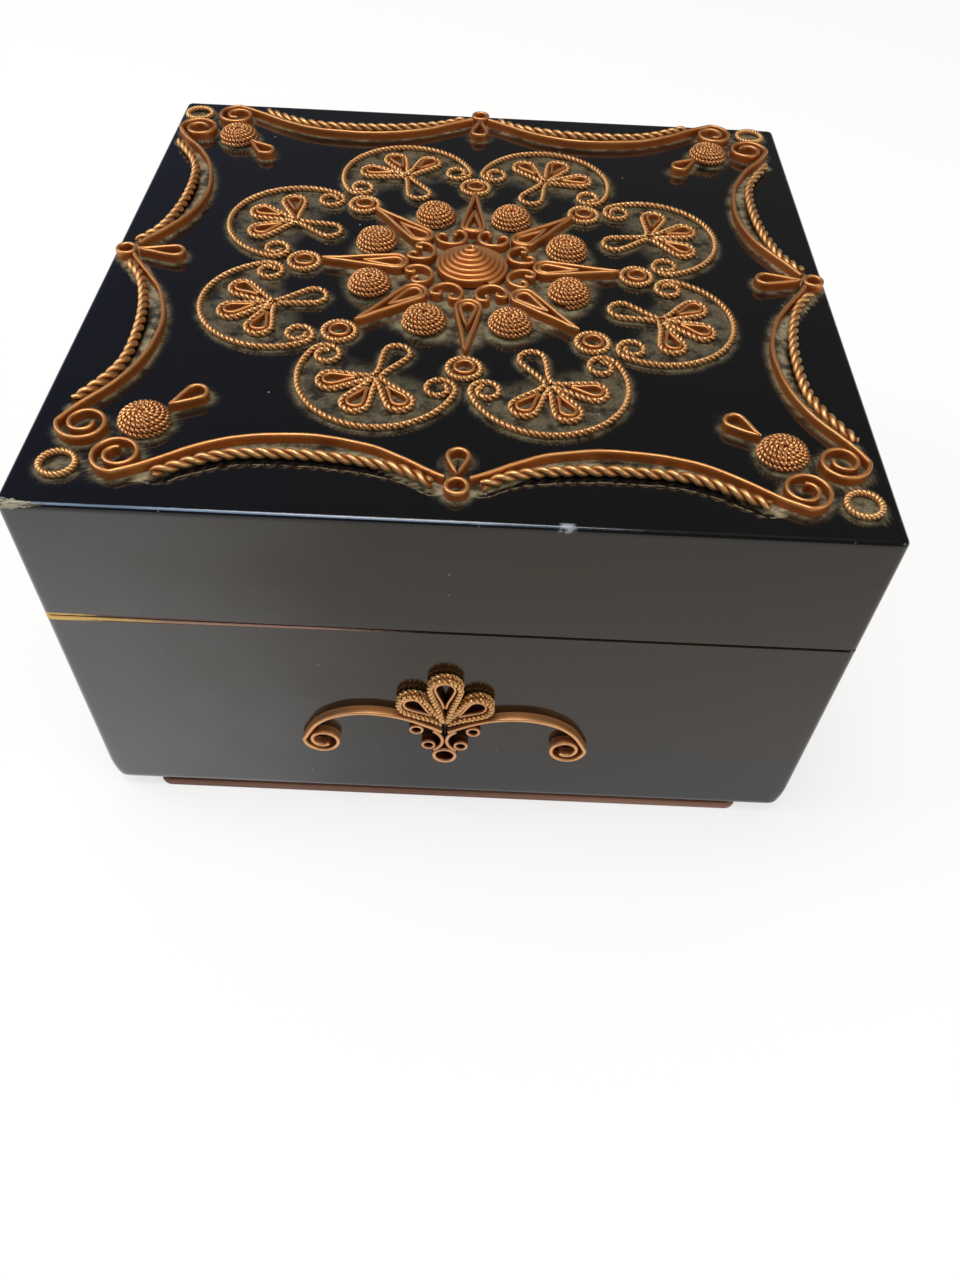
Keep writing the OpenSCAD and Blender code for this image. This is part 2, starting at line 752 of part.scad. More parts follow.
module mid_rings() {
    color(copper) for (side = sides) on_side(side)
        translate([0, mid_ring_at - ring_shifts[side], 0]) ring(mid_ring_r, ribbon_t, ribbon_h);
}

// A drop starts at its ring, and its round end stays in place but for this share of the ring's shift
mid_drop_share = 0.22;

module mid_drops() {
    color(copper) for (side = sides) on_side(side)
        translate([0, mid_ring_at - ring_shifts[side] + mid_ring_r + piece_gap, 0]) rotate([0, 0, 90])
        drop(mid_drop_len + (1 - mid_drop_share) * ring_shifts[side], edge_drop_r, ribbon_t, ribbon_h);
}

// The corner rosette clears both spirals of its corner by one gap
corner_need = spiral_r + ribbon_t / 2 + rosette_r + piece_gap;
corner_mean = (spiral_in + spiral_mid[1]) / 2;
corner_half = (spiral_in - spiral_mid[1]) / 2;
corner_rosette_at = corner_mean + sqrt(corner_need * corner_need / 2 - corner_half * corner_half);

module in_corners() {
    for (k = sides) on_lid() translate(corner_shifts[k]) rotate([0, 0, 90 * k])
        translate([-half_w, -half_w, 0]) children();
}

module corner_rings() {
    color(copper) in_corners() translate([corner_ring_at, corner_ring_at, 0])
        ring(corner_ring_r, cord_d, cord_d);
}

module corner_rosettes() {
    color(copper) in_corners() translate([corner_rosette_at, corner_rosette_at, 0])
        coil(rosette_coil(rosette_r), rosette_wire, rosette_wire);
}

module corner_drops() {
    color(copper) in_corners() translate([corner_rosette_at, corner_rosette_at, 0]) rotate([0, 0, 45])
        translate([rosette_r + piece_gap, 0, 0]) drop(corner_drop_len, edge_drop_r, ribbon_t, ribbon_h);
}

// Ornament on the front of the base, drawn upright with its middle at the origin

front_z = base_z + base_h / 2 - front_low;
front_shares = [[0, 0], [0.13, 0.42], [0.3, 0.83], [0.51, 1], [0.72, 0.78], [0.89, 0.15]];
front_start = 0.7;
front_spiral_drop = 4.9;
front_spiral_turn = 500;
front_spiral_end_r = 1.5;
front_spiral_mid = [front_w - front_spiral_r, -front_spiral_drop];
front_path = concat(
    through(concat(
        placed(front_shares, front_start, front_w, 0, front_crest), [[front_w, -front_spiral_drop]]), 3),
    tail(spiral(front_spiral_mid, front_spiral_r, front_spiral_end_r, 0, -front_spiral_turn, 24)));

module on_front() {
    translate([front_x, -half_w, front_z]) rotate([90, 0, 0]) children();
}

module front_scroll_right() {
    color(copper) on_front() wire(front_path, ribbon_t, ribbon_h);
}

module front_scroll_left() {
    color(copper) on_front() mirror([1, 0, 0]) wire(front_path, ribbon_t, ribbon_h);
}

// Two cords lie on each other along each drop, round a plain wire
front_wire_share = 0.92;
front_side_wire_share = 1;

module front_upright() {
    translate([0, front_tip + piece_gap, 0]) rotate([0, 0, 90]) children();
}

module front_leaning() {
    both_ways() translate([0, front_tip, 0]) rotate([0, 0, 90 - front_turn])
        translate([piece_gap, 0, 0]) children();
}

module front_drop_cords() {
    color(copper) on_front() {
        front_upright() drop(front_drop_len, front_drop_r, cord_d, 2 * cord_d);
        front_leaning() drop(front_side_len, front_side_r, cord_d, 2 * cord_d);
    }
}

module front_drop_wires() {
    color(copper) on_front() {
        front_upright() drop_in(
            front_drop_len, front_drop_r, cord_d, wire_gap, fine_t, front_wire_share, ribbon_h);
        front_leaning() drop_in(
            front_side_len, front_side_r, cord_d, wire_gap, fine_t, front_side_wire_share, ribbon_h);
    }
}

// Two arcs stand back to back under the middle, each round a small ring, with a larger ring below
front_curl_span = 60;
front_curl_mid = [front_curl_r + (ribbon_t + wire_gap) / 2, -front_curl_drop];
front_curl_ring_r = front_curl_r - ribbon_t / 2 - wire_gap - front_ring_r;
front_low_ring_y = front_curl_mid[1] - sqrt(
    pow(front_curl_r + ribbon_t / 2 + front_low_ring_r + wire_gap, 2) - pow(front_curl_mid[0], 2));

module front_curls() {
    color(copper) on_front() both_ways() translate(front_curl_mid)
        wire(spiral([0, 0], front_curl_r, front_curl_r, 180 - front_curl_span, 180 + front_curl_span, 14),
            ribbon_t, ribbon_h);
}

module front_rings() {
    color(copper) on_front() {
        both_ways() {
            translate([front_ring_out, front_ring_up, 0]) ring(front_ring_r, fine_t, ribbon_h);
            translate(front_curl_mid + polar(front_curl_ring_r, front_curl_span - 180))
                ring(front_ring_r, fine_t, ribbon_h);
        }
        translate([0, front_low_ring_y, 0]) ring(front_low_ring_r, ribbon_t, ribbon_h);
    }
}

foot_board();
base_front();
base_back();
base_left();
base_right();
base_floor();
lip_front();
lip_back();
lip_left();
lip_right();
base_lining_front();
base_lining_back();
base_lining_left();
base_lining_right();
base_pad();
hinge_base_leaf_left();
hinge_base_leaf_right();
hinge_pin_left();
hinge_pin_right();
hinge_base_screws();
front_scroll_left();
front_scroll_right();
front_drop_cords();
front_drop_wires();
front_curls();
front_rings();
lid_front();
lid_back();
lid_left();
lid_right();
lid_top();
lid_lining_front();
lid_lining_back();
lid_lining_left();
lid_lining_right();
lid_pad();
hinge_lid_leaf_left();
hinge_lid_leaf_right();
hinge_lid_screws();
centre_cone();
centre_scrolls();
star_drops();
star_inner_drops();
rosettes();
joint_rings();
joint_cores();
petal_scrolls();
petal_loops();
petal_wires();
border_ribbon_front();
border_ribbon_back();
border_ribbon_left();
border_ribbon_right();
border_cords();
mid_rings();
mid_drops();
corner_rings();
corner_rosettes();
corner_drops();
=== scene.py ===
"""Looks of a lacquered jewelry box with copper wire ornament, built around its packed CAD model.

Sizes are in millimetres. A mesh turns them into metres when it is made.
"""
import json
import logging
import math
from dataclasses import dataclass, field
from enum import Enum
from typing import Any, Callable, Sequence

import bpy
import numpy as np
from bpy.types import Material, Object
from mathutils import Matrix, Vector
from mathutils.kdtree import KDTree


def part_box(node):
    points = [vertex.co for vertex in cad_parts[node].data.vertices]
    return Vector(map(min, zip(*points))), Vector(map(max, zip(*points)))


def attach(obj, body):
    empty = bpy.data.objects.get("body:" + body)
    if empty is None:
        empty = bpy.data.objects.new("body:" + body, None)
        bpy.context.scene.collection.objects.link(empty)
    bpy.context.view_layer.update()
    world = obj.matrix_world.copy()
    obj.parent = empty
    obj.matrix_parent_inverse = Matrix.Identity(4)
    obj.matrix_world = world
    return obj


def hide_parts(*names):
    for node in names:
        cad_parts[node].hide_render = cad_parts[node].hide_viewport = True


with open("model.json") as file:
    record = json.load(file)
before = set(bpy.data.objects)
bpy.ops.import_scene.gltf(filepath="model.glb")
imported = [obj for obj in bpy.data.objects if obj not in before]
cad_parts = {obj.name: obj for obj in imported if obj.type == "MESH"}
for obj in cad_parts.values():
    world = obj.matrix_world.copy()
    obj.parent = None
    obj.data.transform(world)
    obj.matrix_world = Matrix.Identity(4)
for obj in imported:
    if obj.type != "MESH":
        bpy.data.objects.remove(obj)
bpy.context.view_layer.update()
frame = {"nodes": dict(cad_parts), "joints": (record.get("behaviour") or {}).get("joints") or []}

log = logging.getLogger("jewelry box")
MM = 0.001
Colour = tuple[float, float, float]
SIDES = ("front", "right", "back", "left")
SHARP = 32.0


class Body(Enum):
    """The two bodies of the box."""

    BASE = "base"
    LID = "lid"


class Slot(Enum):
    """The record's material slots that new pieces take."""

    LACQUER = "lacquer"
    FOOT = "foot_wood"
    VELVET = "velvet"
    RIBBON = "ribbon_wire"
    TWIST = "twisted_wire"
    COIL = "coiled_wire"


def corner(node: str, high: bool) -> Vector:
    """The lowest or highest corner of a CAD node, in millimetres."""
    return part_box(node)[1 if high else 0] / MM


HALF = corner("lid_top", True).x
BASE_Z = corner("base_front", False).z
RIM_Z = corner("base_front", True).z
LID_Z = corner("lid_front", False).z
CEILING_Z = corner("lid_top", False).z
TOP_Z = corner("lid_top", True).z
WALL_IN = corner("base_floor", True).x
HINGE_AT = Vector(frame["joints"][0]["pos_m"]) / MM
LID_MIDDLE = (corner("petal_scrolls", False) + corner("petal_scrolls", True)) / 2


# Plane curves, as arrays of points


def polar(radius: float | np.ndarray, degrees: float | np.ndarray) -> np.ndarray:
    """Points at a radius and an angle in degrees."""
    a = np.radians(degrees)
    return np.stack(np.broadcast_arrays(radius * np.cos(a), radius * np.sin(a)), -1)


def spiral(
    centre: Sequence[float], r0: float, r1: float, a0: float, a1: float, count: int = 120
) -> np.ndarray:
    """A spiral round a centre, from radius r0 at angle a0 to radius r1 at angle a1.

    Args:
        centre: The centre in the plan.
        r0, r1: First and last radius.
        a0, a1: First and last angle, in degrees.
        count: How many points it has.

    Returns:
        Its points.
    """
    f = np.linspace(0, 1, count)
    return np.asarray(centre) + polar(r0 + (r1 - r0) * f, a0 + (a1 - a0) * f)


def through(points: np.ndarray, count: int = 16) -> np.ndarray:
    """A smooth curve through points.

    Args:
        points: The points, in order.
        count: Steps between two of them.

    Returns:
        The curve's points.
    """
    p = np.vstack([points[:1], points, points[-1:]])
    t = np.linspace(0, 1, count, endpoint=False)[:, None]
    out = []
    for i in range(len(points) - 1):
        a, b, c, d = p[i : i + 4]
        out.append(
            (2 * b + (c - a) * t + (2 * a - 5 * b + 4 * c - d) * t**2 + (3 * b - a - 3 * c + d) * t**3) / 2
        )
    return np.vstack([*out, points[-1:]])


def spaced(path: np.ndarray, step: float) -> tuple[np.ndarray, np.ndarray]:
    """Lays points along a path at an even step.

    Args:
        path: Points in two or three dimensions.
        step: The wanted distance between points.

    Returns:
        The new points and their distances from the start.
    """
    lengths = np.concatenate([[0], np.cumsum(np.linalg.norm(np.diff(path, axis=0), axis=1))])
    s = np.linspace(0, lengths[-1], max(int(round(lengths[-1] / step)) + 1, 4))
    return np.stack([np.interp(s, lengths, path[:, k]) for k in range(path.shape[1])], 1), s


def scroll(radius: float, opening: float, curl: float, curl_end: float, turn: float) -> np.ndarray:
    """An arc open towards -X whose two ends curl inwards.

    Args:
        radius: Radius of the arc.
        opening: Angle from +X to each end of the arc, in degrees.
        curl: Radius at which a curl begins.
        curl_end: Radius at which it ends.
        turn: Angle that a curl turns, in degrees.

    Returns:
        The points of the whole scroll.
    """
    first = spiral(polar(radius - curl, opening), curl_end, curl, opening + turn, opening)
    arc = spiral([0, 0], radius, radius, opening, -opening)
    last = spiral(polar(radius - curl, -opening), curl, curl_end, -opening, -opening - turn)
    return np.vstack([first[:-1], arc, last[1:]])


# How the flank of a wire drop bends, in millimetres near the tip and in shares of its sizes elsewhere
SHARP_PINCH, SHARP_TIP, BLUNT_TIP, TIP_END, SAG_AT, SAG = 0.3, 0.1, 0.6, 0.05, 0.3, 0.05


def drop(length: float, radius: float, thickness: float, pinch: float = 0.5) -> np.ndarray:
    """The middle line of a wire bent to a drop with its tip at the origin and its round end along +X.

    Args:
        length: Outer length of the drop.
        radius: Outer radius of its round end.
        thickness: Thickness of the wire.
        pinch: Distance of both wire ends from the axis, as a share of the thickness. A small one makes
            a sharp tip.

    Returns:
        Points from one end at the tip round to the other.
    """
    reach, r = length - radius, radius - thickness / 2
    slope = math.degrees(math.asin(radius / reach))
    end = polar(r, 90 + slope) + [reach, 0]
    side = pinch * thickness
    inner = np.array([SHARP_TIP if pinch < SHARP_PINCH else thickness * BLUNT_TIP, side])
    sag = inner + (end - inner) * SAG_AT + [0, -SAG * radius]
    flank = through(np.array([[TIP_END, side * 0.98], inner, sag, inner + (end - inner) * 0.72, end]), 12)
    arc = spiral([reach, 0], r, r, 90 + slope, -90 - slope)
    return np.vstack([flank[:-1], arc, (flank * [1, -1])[::-1][1:]])


def spread(low: Sequence[float], high: Sequence[float], shares: Sequence[Sequence[float]]) -> np.ndarray:
    """Points at shares of the way from one corner of a box in the plan to the opposite one.

    Args:
        low: The first corner.
        high: The opposite corner.
        shares: Shares across and up for each point.

    Returns:
        The points.
    """
    start = np.array(low)
    return start + (np.array(high) - start) * np.array(shares)


def tangents(points: np.ndarray, closed: bool) -> np.ndarray:
    """Unit vectors along a path, at each of its points.

    Args:
        points: The path.
        closed: Whether its ends meet.

    Returns:
        A vector for each point.
    """
    ahead = np.roll(points, -1, 0) - np.roll(points, 1, 0) if closed else np.gradient(points, axis=0)
    return ahead / np.linalg.norm(ahead, axis=1)[:, None]


def turned(path: np.ndarray, degrees: float) -> np.ndarray:
    """The path turned about the origin."""
    a = math.radians(degrees)
    return path @ np.array([[math.cos(a), math.sin(a)], [-math.sin(a), math.cos(a)]])


def mirrored(path: np.ndarray) -> np.ndarray:
    """The path mirrored from left to right."""
    return path * [-1, 1]


# Meshes


def link(name: str, data: bpy.types.ID) -> Object:
    """Adds an object that shows this data to the scene.

    Args:
        name: Name of the object.
        data: Its mesh, lamp or camera.

    Returns:
        The object.
    """
    thing = bpy.data.objects.new(name, data)
    bpy.context.scene.collection.objects.link(thing)
    return thing


def make_object(
    name: str,
    verts: np.ndarray,
    faces: Sequence[Sequence[int]],
    materials: Sequence[Material],
    sharp: float = 40.0,
) -> Object:
    """Makes a smoothly shaded mesh object from points in millimetres.

    Args:
        name: Name of the object.
        verts: Points, in millimetres.
        faces: Point numbers of each face.
        materials: The materials of its slots.
        sharp: Angle in degrees above which an edge stays sharp.

    Returns:
        The new object, linked to the scene.
    """
    mesh = bpy.data.meshes.new(name)
    mesh.from_pydata((verts * MM).tolist(), [], faces)
    mesh.validate()
    for material in materials:
        mesh.materials.append(material)
    mesh.shade_smooth()
    mesh.set_sharp_from_angle(angle=math.radians(sharp))
    return link(name, mesh)


def strips(index: np.ndarray, looped: bool = False) -> list[list[int]]:
    """Quads between rings of points.

    Args:
        index: Point numbers, a row for each ring.
        looped: Whether the last ring joins the first.

    Returns:
        Point numbers of each face.
    """
    a, c = (index, np.roll(index, -1, 0)) if looped else (index[:-1], index[1:])
    return np.stack([a, np.roll(a, -1, 1), np.roll(c, -1, 1), c], -1).reshape(-1, 4).tolist()


def caps(index: np.ndarray) -> list[list[int]]:
    """Flat ends of a row of rings, which face away from it."""
    return [index[0][::-1].tolist(), index[-1].tolist()]


def points_of(thing: Object) -> np.ndarray:
    """The points of an object's mesh, in millimetres.

    Args:
        thing: The object.

    Returns:
        One row for each point.
    """
    points = np.empty(len(thing.data.vertices) * 3, np.float32)
    thing.data.vertices.foreach_get("co", points)
    return points.reshape(-1, 3) / MM


def move_points(thing: Object, points: np.ndarray) -> None:
    """Gives an object's mesh new points, in millimetres."""
    thing.data.vertices.foreach_set("co", (points * MM).astype(np.float32).ravel())


def settle(thing: Object) -> None:
    """Applies an object's modifiers to its mesh.

    Args:
        thing: The object.
    """
    graph = bpy.context.evaluated_depsgraph_get()
    made = bpy.data.meshes.new_from_object(thing.evaluated_get(graph), depsgraph=graph)
    thing.modifiers.clear()
    thing.data = made


def hand_in(thing: Object, body: Body, nodes: Sequence[str]) -> Object:
    """Puts a finished piece on its body, says which nodes it stands for, and reports it.

    Args:
        thing: The piece.
        body: The body that it rides on.
        slot: The record's slot that it takes its finish from.
        nodes: The CAD nodes that it stands for.

    Returns:
        The same piece.
    """
    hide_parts(*nodes)
    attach(thing, body.value)
    log.info("%s: %d faces on %s", thing.name, len(thing.data.polygons), body.value)
    return thing


def set_numbers(mesh: bpy.types.Mesh, name: str, values: np.ndarray) -> None:
    """Stores one number per point on a mesh, for its material to read."""
    mesh.attributes.new(name, "FLOAT", "POINT").data.foreach_set("value", values.astype(np.float32))


# Shaders


def operator(kind: str, meaning: str, swapped: bool = False) -> Callable[..., "Wire"]:
    """Makes a method of a wire that adds a Math node.

    Args:
        kind: The node's operation.
        meaning: The method's docstring.
        swapped: Whether the wire comes after the other value.

    Returns:
        The method.
    """

    def method(wire: "Wire", *others: Any) -> "Wire":
        """Adds the node."""
        values = (*others, wire) if swapped else (wire, *others)
        return wire.bench.node("ShaderNodeMath", {"operation": kind}, dict(enumerate(values)))

    method.__doc__ = meaning
    return method


class Wire:
    """A number, colour or vector that flows from a socket, usable in Python expressions."""

    __add__ = __radd__ = operator("ADD", "Sum.")
    __mul__ = __rmul__ = operator("MULTIPLY", "Product.")
    __sub__ = operator("SUBTRACT", "Difference.")
    __rsub__ = operator("SUBTRACT", "Difference from a number.", swapped=True)
    __truediv__ = operator("DIVIDE", "Quotient.")
    __rtruediv__ = operator("DIVIDE", "A number divided by this.", swapped=True)
    __abs__ = operator("ABSOLUTE", "Size without its sign.")
    __gt__ = operator("GREATER_THAN", "1 where this is greater.")
    least = operator("MINIMUM", "The smaller of two.")
    most = operator("MAXIMUM", "The larger of two.")

    def __init__(self, bench: "Bench", socket: bpy.types.NodeSocket | None) -> None:
        """Keeps the tree's bench and the socket."""
        self.bench, self.socket = bench, socket

    def ramp(self, low: float, high: float, start: float = 0.0, end: float = 1.0) -> "Wire":
        """A smooth step between two values.

        Args:
            low: Value at which the step begins.
            high: Value at which it ends, which may be lower.
            start: Result before the step.
            end: Result after it.

        Returns:
            The stepped value.
        """
        if low > high:
            low, high, start, end = high, low, end, start
        return self.bench.node(
            "ShaderNodeMapRange",
            {"interpolation_type": "SMOOTHSTEP"},
            {0: self, 1: low, 2: high, 3: start, 4: end},
        )


class Bench:
    """The node tree of one material or world, with what its finish often needs."""

    def __init__(self, owner: bpy.types.ID) -> None:
        """Empties the tree of a material or world.

        Args:
            owner: The material or world.
        """
        owner.use_nodes = True
        self.tree = owner.node_tree
        self.tree.nodes.clear()

    def node(
        self,
        kind: str,
        settings: dict[str, Any] | None = None,
        values: dict[int | str, Any] | None = None,
        output: int | str = 0,
    ) -> Wire:
        """Adds any node.

        Args:
            kind: Type name of the node.
            settings: Its settings, which are set first.
            values: Values or links of its sockets.
            output: The output to go on from.

        Returns:
            The output as a wire.
        """
        made = self.tree.nodes.new(kind)
        for name, value in (settings or {}).items():
            setattr(made, name, value)
        for name, value in (values or {}).items():
            socket = made.inputs[name]
            if isinstance(value, Wire):
                self.tree.links.new(value.socket, socket)
            elif socket.type == "RGBA" and len(value) == 3:
                socket.default_value = (*value, 1.0)
            else:
                socket.default_value = value
        return Wire(self, made.outputs[output] if made.outputs else None)

    def place(self, stretch: Sequence[float] = (1, 1, 1)) -> Wire:
        """The piece's own coordinates in millimetres, stretched.

        Args:
            stretch: What each coordinate is multiplied by.

        Returns:
            The vector.
        """
        spot = self.node("ShaderNodeTexCoord", output="Object")
        scale = tuple(s / MM for s in stretch)
        return self.node("ShaderNodeVectorMath", {"operation": "MULTIPLY"}, {0: spot, 1: scale})

    def along(self, spot: Wire) -> tuple[Wire, Wire, Wire]:
        """The three numbers of a vector."""
        parts = self.node("ShaderNodeSeparateXYZ", None, {0: spot}).socket.node
        return tuple(Wire(self, parts.outputs[k]) for k in range(3))

    def joined(self, x: Any, y: Any, z: Any) -> Wire:
        """A vector of three numbers."""
        return self.node("ShaderNodeCombineXYZ", None, {0: x, 1: y, 2: z})

    def number(self, name: str) -> Wire:
        """A number stored on the mesh's points."""
        return self.node("ShaderNodeAttribute", {"attribute_name": name}, output="Fac")

    def noise(self, spot: Wire, scale: float, detail: float = 3.0, rough: float = 0.55) -> Wire:
        """Smooth noise from about 0 to 1, with features of about 1 / scale millimetres.

        Args:
            spot: Where, a vector.
            scale: How fine it is.
            detail: How many finer layers it has.
            rough: How strong the finer layers are.

        Returns:
            The noise.
        """
        return self.node(
            "ShaderNodeTexNoise", None, {"Vector": spot, "Scale": scale, "Detail": detail, "Roughness": rough}
        )

    def mix(self, factor: Any, a: Any, b: Any) -> Wire:
        """Colour a where the factor is 0 and b where it is 1.

        Args:
            factor: How much of b there is.
            a: The first colour.
            b: The second colour.

        Returns:
            The mixed colour.
        """
        return self.node(
            "ShaderNodeMix", {"data_type": "RGBA", "clamp_factor": True}, {0: factor, 6: a, 7: b}, output=2
        )

    def bump(self, height: Wire, depth: float, under: Wire | None = None) -> Wire:
        """A normal from a height.

        Args:
            height: The height, from about 0 to 1.
            depth: The depth in millimetres that a height of 1 stands for.
            under: A normal to add it to.

        Returns:
            The new normal.
        """
        values: dict[int | str, Any] = {"Height": height, "Strength": 1.0, "Distance": depth * MM}
        if under:
            values["Normal"] = under
        return self.node("ShaderNodeBump", None, values)

    def surface(self, values: dict[int | str, Any]) -> None:
        """Ends the tree in a Principled shader with these values."""
        shader = self.node("ShaderNodeBsdfPrincipled", None, values)
        self.node("ShaderNodeOutputMaterial", None, {"Surface": shader})


def darker(colour: Colour, share: float) -> Colour:
    """A share of a colour's brightness."""
    return tuple(share * c for c in colour)


def dressed(name: str) -> tuple[Material, Bench]:
    """A new material and the bench of its tree."""
    material = bpy.data.materials.new(name)
    return material, Bench(material)


@dataclass(frozen=True)
class Lacquer:
    """Black gloss lacquer with dust, glue haze round the wires, worn edges, a chip and a bare rim."""

    black: Colour = (0.0032, 0.0032, 0.0036)
    # Painted reflection tints of the upright faces: grey on the left, warm on the right, bluish towards the
    # bottom.
    reflect_left: Colour = (0.013, 0.0135, 0.0145)
    reflect_right: Colour = (0.015, 0.0075, 0.0015)
    reflect_low: Colour = (0.005, 0.008, 0.014)
    smudge: Colour = (0.004, 0.003, 0.003)
    worn: Colour = (0.30, 0.32, 0.36)
    haze: Colour = (0.37, 0.315, 0.19)
    dust: Colour = (0.34, 0.34, 0.32)
    # Bluish colour of the painted highlight line under the top front edge.
    painted_highlight: Colour = (0.15, 0.215, 0.31)
    wood: Colour = (0.30, 0.28, 0.21)
    grime: Colour = (0.06, 0.05, 0.035)
    gold: Colour = (0.72, 0.46, 0.12)
    # Duller brown of the bare rim towards the right, and the dark brown band along the seam: painted shade
    # and painted shadow.
    shaded_gold: Colour = (0.34, 0.20, 0.15)
    rim_shadow: Colour = (0.075, 0.03, 0.016)
    tint: Colour = (1.0, 0.97, 0.90)
    coat: float = 0.85
    chip_len: float = 10.5
    chip_h: float = 1.35
    rim_h: float = 0.95
    rim_end: float = 2.0
    line_at: float = 0.16
    line_w: float = 0.14
    line_end: float = 34.0
    nick_at: float = 18.5
    nick_w: float = 1.7
    glue_at: float = 1.95
    glue_w: float = 0.2

    def _upright_tint(self, b: Bench, z: Wire, side: Wire, blotches: Wire, streaks: Wire) -> Wire:
        """The thin film of wax and dust on the upright faces.

        Args:
            b: The material's bench.
            z: The height.
            side: 0 at the left side, 1 from the middle on.
            blotches: Wide noise.
            streaks: Noise drawn out sideways.

        Returns:
            The colour of lacquer and film.
        """
        mottled = side * 0.75 + blotches.ramp(0.35, 0.65) * 0.3
        # Painted reflection: grey on the left, warm on the right, bluish towards the bottom; smudges follow.
        upright_tone = b.mix(mottled, self.reflect_left, self.reflect_right)
        upright_tone = b.mix(z.ramp(RIM_Z * 0.6, RIM_Z * 0.1) * 0.85, upright_tone, self.reflect_low)
        upright_tone = b.mix(streaks.ramp(0.42, 0.72) * 0.3, upright_tone, self.smudge)
        spots = b.noise(b.place((1.0, 1.0, 1.3)), 0.17, 3.0)
        return b.mix(spots.ramp(0.64, 0.74) * 0.6, upright_tone, self.smudge)

    def _glue(self, b: Bench, y: Wire, cloud: Wire, grit: Wire, rub: Wire) -> Wire:
        """Dried glue round the wires, with a thin line along the front border.

        Args:
            b: The material's bench.
            y: The way to the back.
            cloud: Soft noise.
            grit: Fine noise.
            rub: Ragged noise.

        Returns:
            How much glue there is.
        """
        glue = b.number("haze") * cloud.ramp(0.36, 0.6, 0.15, 1.0) * grit.ramp(0.25, 0.75, 0.6, 1.1)
        line = abs(b.number("cord_gap") - self.glue_at - (cloud - 0.5) * 1.2)
        line = line.ramp(self.glue_w, self.glue_w * 0.3) * (y + HALF).ramp(15.0, 14.0)
        line = line * rub.ramp(0.42, 0.55) * 0.36
        return glue.most(line)

    def _chip(self, x: Wire, y: Wire, z: Wire, jag: Wire, rub: Wire) -> Wire:
        """The chip out of the upper edge at the front left corner.

        Args:
            x: The way to the right.
            y: The way to the back.
            z: The height.
            jag: How ragged its edge is, in millimetres.
            rub: Ragged noise.

        Returns:
            1 in the chip, 0 off it.
        """
        run = (x + HALF) / self.chip_len
        deep = run.ramp(0.0, 1.0, self.chip_h, 0.0) + jag
        wide = run.ramp(0.0, 1.0, self.chip_h, 0.1) + jag
        upper = (TOP_Z - z - deep).ramp(0.12, -0.12) * (y + HALF - wide).ramp(0.12, -0.12)
        return upper * run.ramp(1.1, 1.0) * rub.ramp(0.28, 0.4)

    def _bare_rim(self, b: Bench, x: Wire, z: Wire, ragged: Wire) -> tuple[Wire, Wire]:
        """The rim of the seam at the front left, where the lacquer is gone.

        Args:
            b: The material's bench.
            x: The way to the right.
            z: The height.
            ragged: Ragged noise.

        Returns:
            Where it is bare, and the colour of the wood there.
        """
        run = (x + (ragged - 0.5) * 10).ramp(-HALF, self.rim_end)
        high = run.ramp(0.0, 1.0, self.rim_h, self.rim_h * 0.45)
        bare = (abs(z - RIM_Z) - high).ramp(0.08, -0.12) * run.ramp(1.0, 0.72)
        # Gold turning duller towards the right as painted shade; a dark brown band of painted shadow runs
        # along the seam.
        rim = b.mix(run.ramp(0.0, 0.25), self.gold, self.shaded_gold)
        layer = abs((z - RIM_Z) / high + 0.15).ramp(0.3, 0.6) * run.ramp(0.0, 0.06)
        return bare, b.mix(layer, rim, self.rim_shadow)

    def material(self) -> Material:
        """Builds the material.

        Returns:
            The material.
        """
        material, b = dressed("black_lacquer")
        spot = b.place()
        x, y, z = b.along(spot)
        blotches = b.noise(spot, 0.045, 4.0)
        streaks = b.noise(b.place((0.03, 0.03, 0.55)), 1.0, 4.0, 0.65)
        rub = b.noise(spot, 0.8, 5.0, 0.65)

        side = x.ramp(-HALF * 0.95, HALF * 0.1)
        upright = (TOP_Z - z).ramp(0.8, 1.6)
        # The top stays black; the upright faces take the painted reflection tint.
        tone = b.mix(upright, self.black, self._upright_tint(b, z, side, blotches, streaks))

        worn = b.number("edge") * rub.ramp(0.66, 0.74)
        tone = b.mix(worn * 0.8, tone, self.worn)

        cloud = b.noise(spot, 0.28, 5.0, 0.62)
        grit = b.noise(spot, 2.4, 3.0, 0.6)
        glue = self._glue(b, y, cloud, grit, rub)
        tone = b.mix(glue.least(0.9), tone, self.haze)

        cells = b.node("ShaderNodeTexVoronoi", {"feature": "F1"}, {"Vector": spot, "Scale": 0.2})
        shade = b.node("ShaderNodeTexVoronoi", {"feature": "F1"}, {"Vector": spot, "Scale": 0.2}, "Color")
        size = b.along(shade)[0].ramp(0.6, 1.0, 0.0, 0.05)
        tone = b.mix((size > cells) * 0.45, tone, self.dust)

        front = (y + HALF).ramp(1.5, 0.9)
        ragged = b.noise(spot, 0.9, 4.0)
        jag = (ragged - 0.5) * 1.3
        chip = self._chip(x, y, z, jag, rub)
        torn = b.noise(b.place((0.35, 2.2, 2.2)), 1.0, 3.0)
        tone = b.mix(chip * 0.95, tone, b.mix(torn.ramp(0.48, 0.58), self.wood, self.grime))

        bare, rim = self._bare_rim(b, x, z, ragged)
        bare = front * bare
        tone = b.mix(bare * 0.95, tone, rim)

        # A thin streaky line just under the top front edge, fading towards the right: a painted highlight.
        edge_line = front * abs(TOP_Z - z - self.line_at - jag * 0.05).ramp(self.line_w, self.line_w * 0.4)
        edge_line = edge_line * (x + (cloud - 0.5) * 60).ramp(self.line_end, self.line_end - 50) * (1 - chip)
        tone = b.mix(edge_line * streaks.ramp(0.2, 0.5, 0.5, 0.9), tone, self.painted_highlight)

        nick = abs(x - self.nick_at + jag).ramp(self.nick_w, self.nick_w * 0.3)
        nick = nick * (TOP_Z - z - jag).ramp(1.1, 0.6)
        tone = b.mix(front * nick * rub.ramp(0.4, 0.55) * 0.8, tone, self.worn)

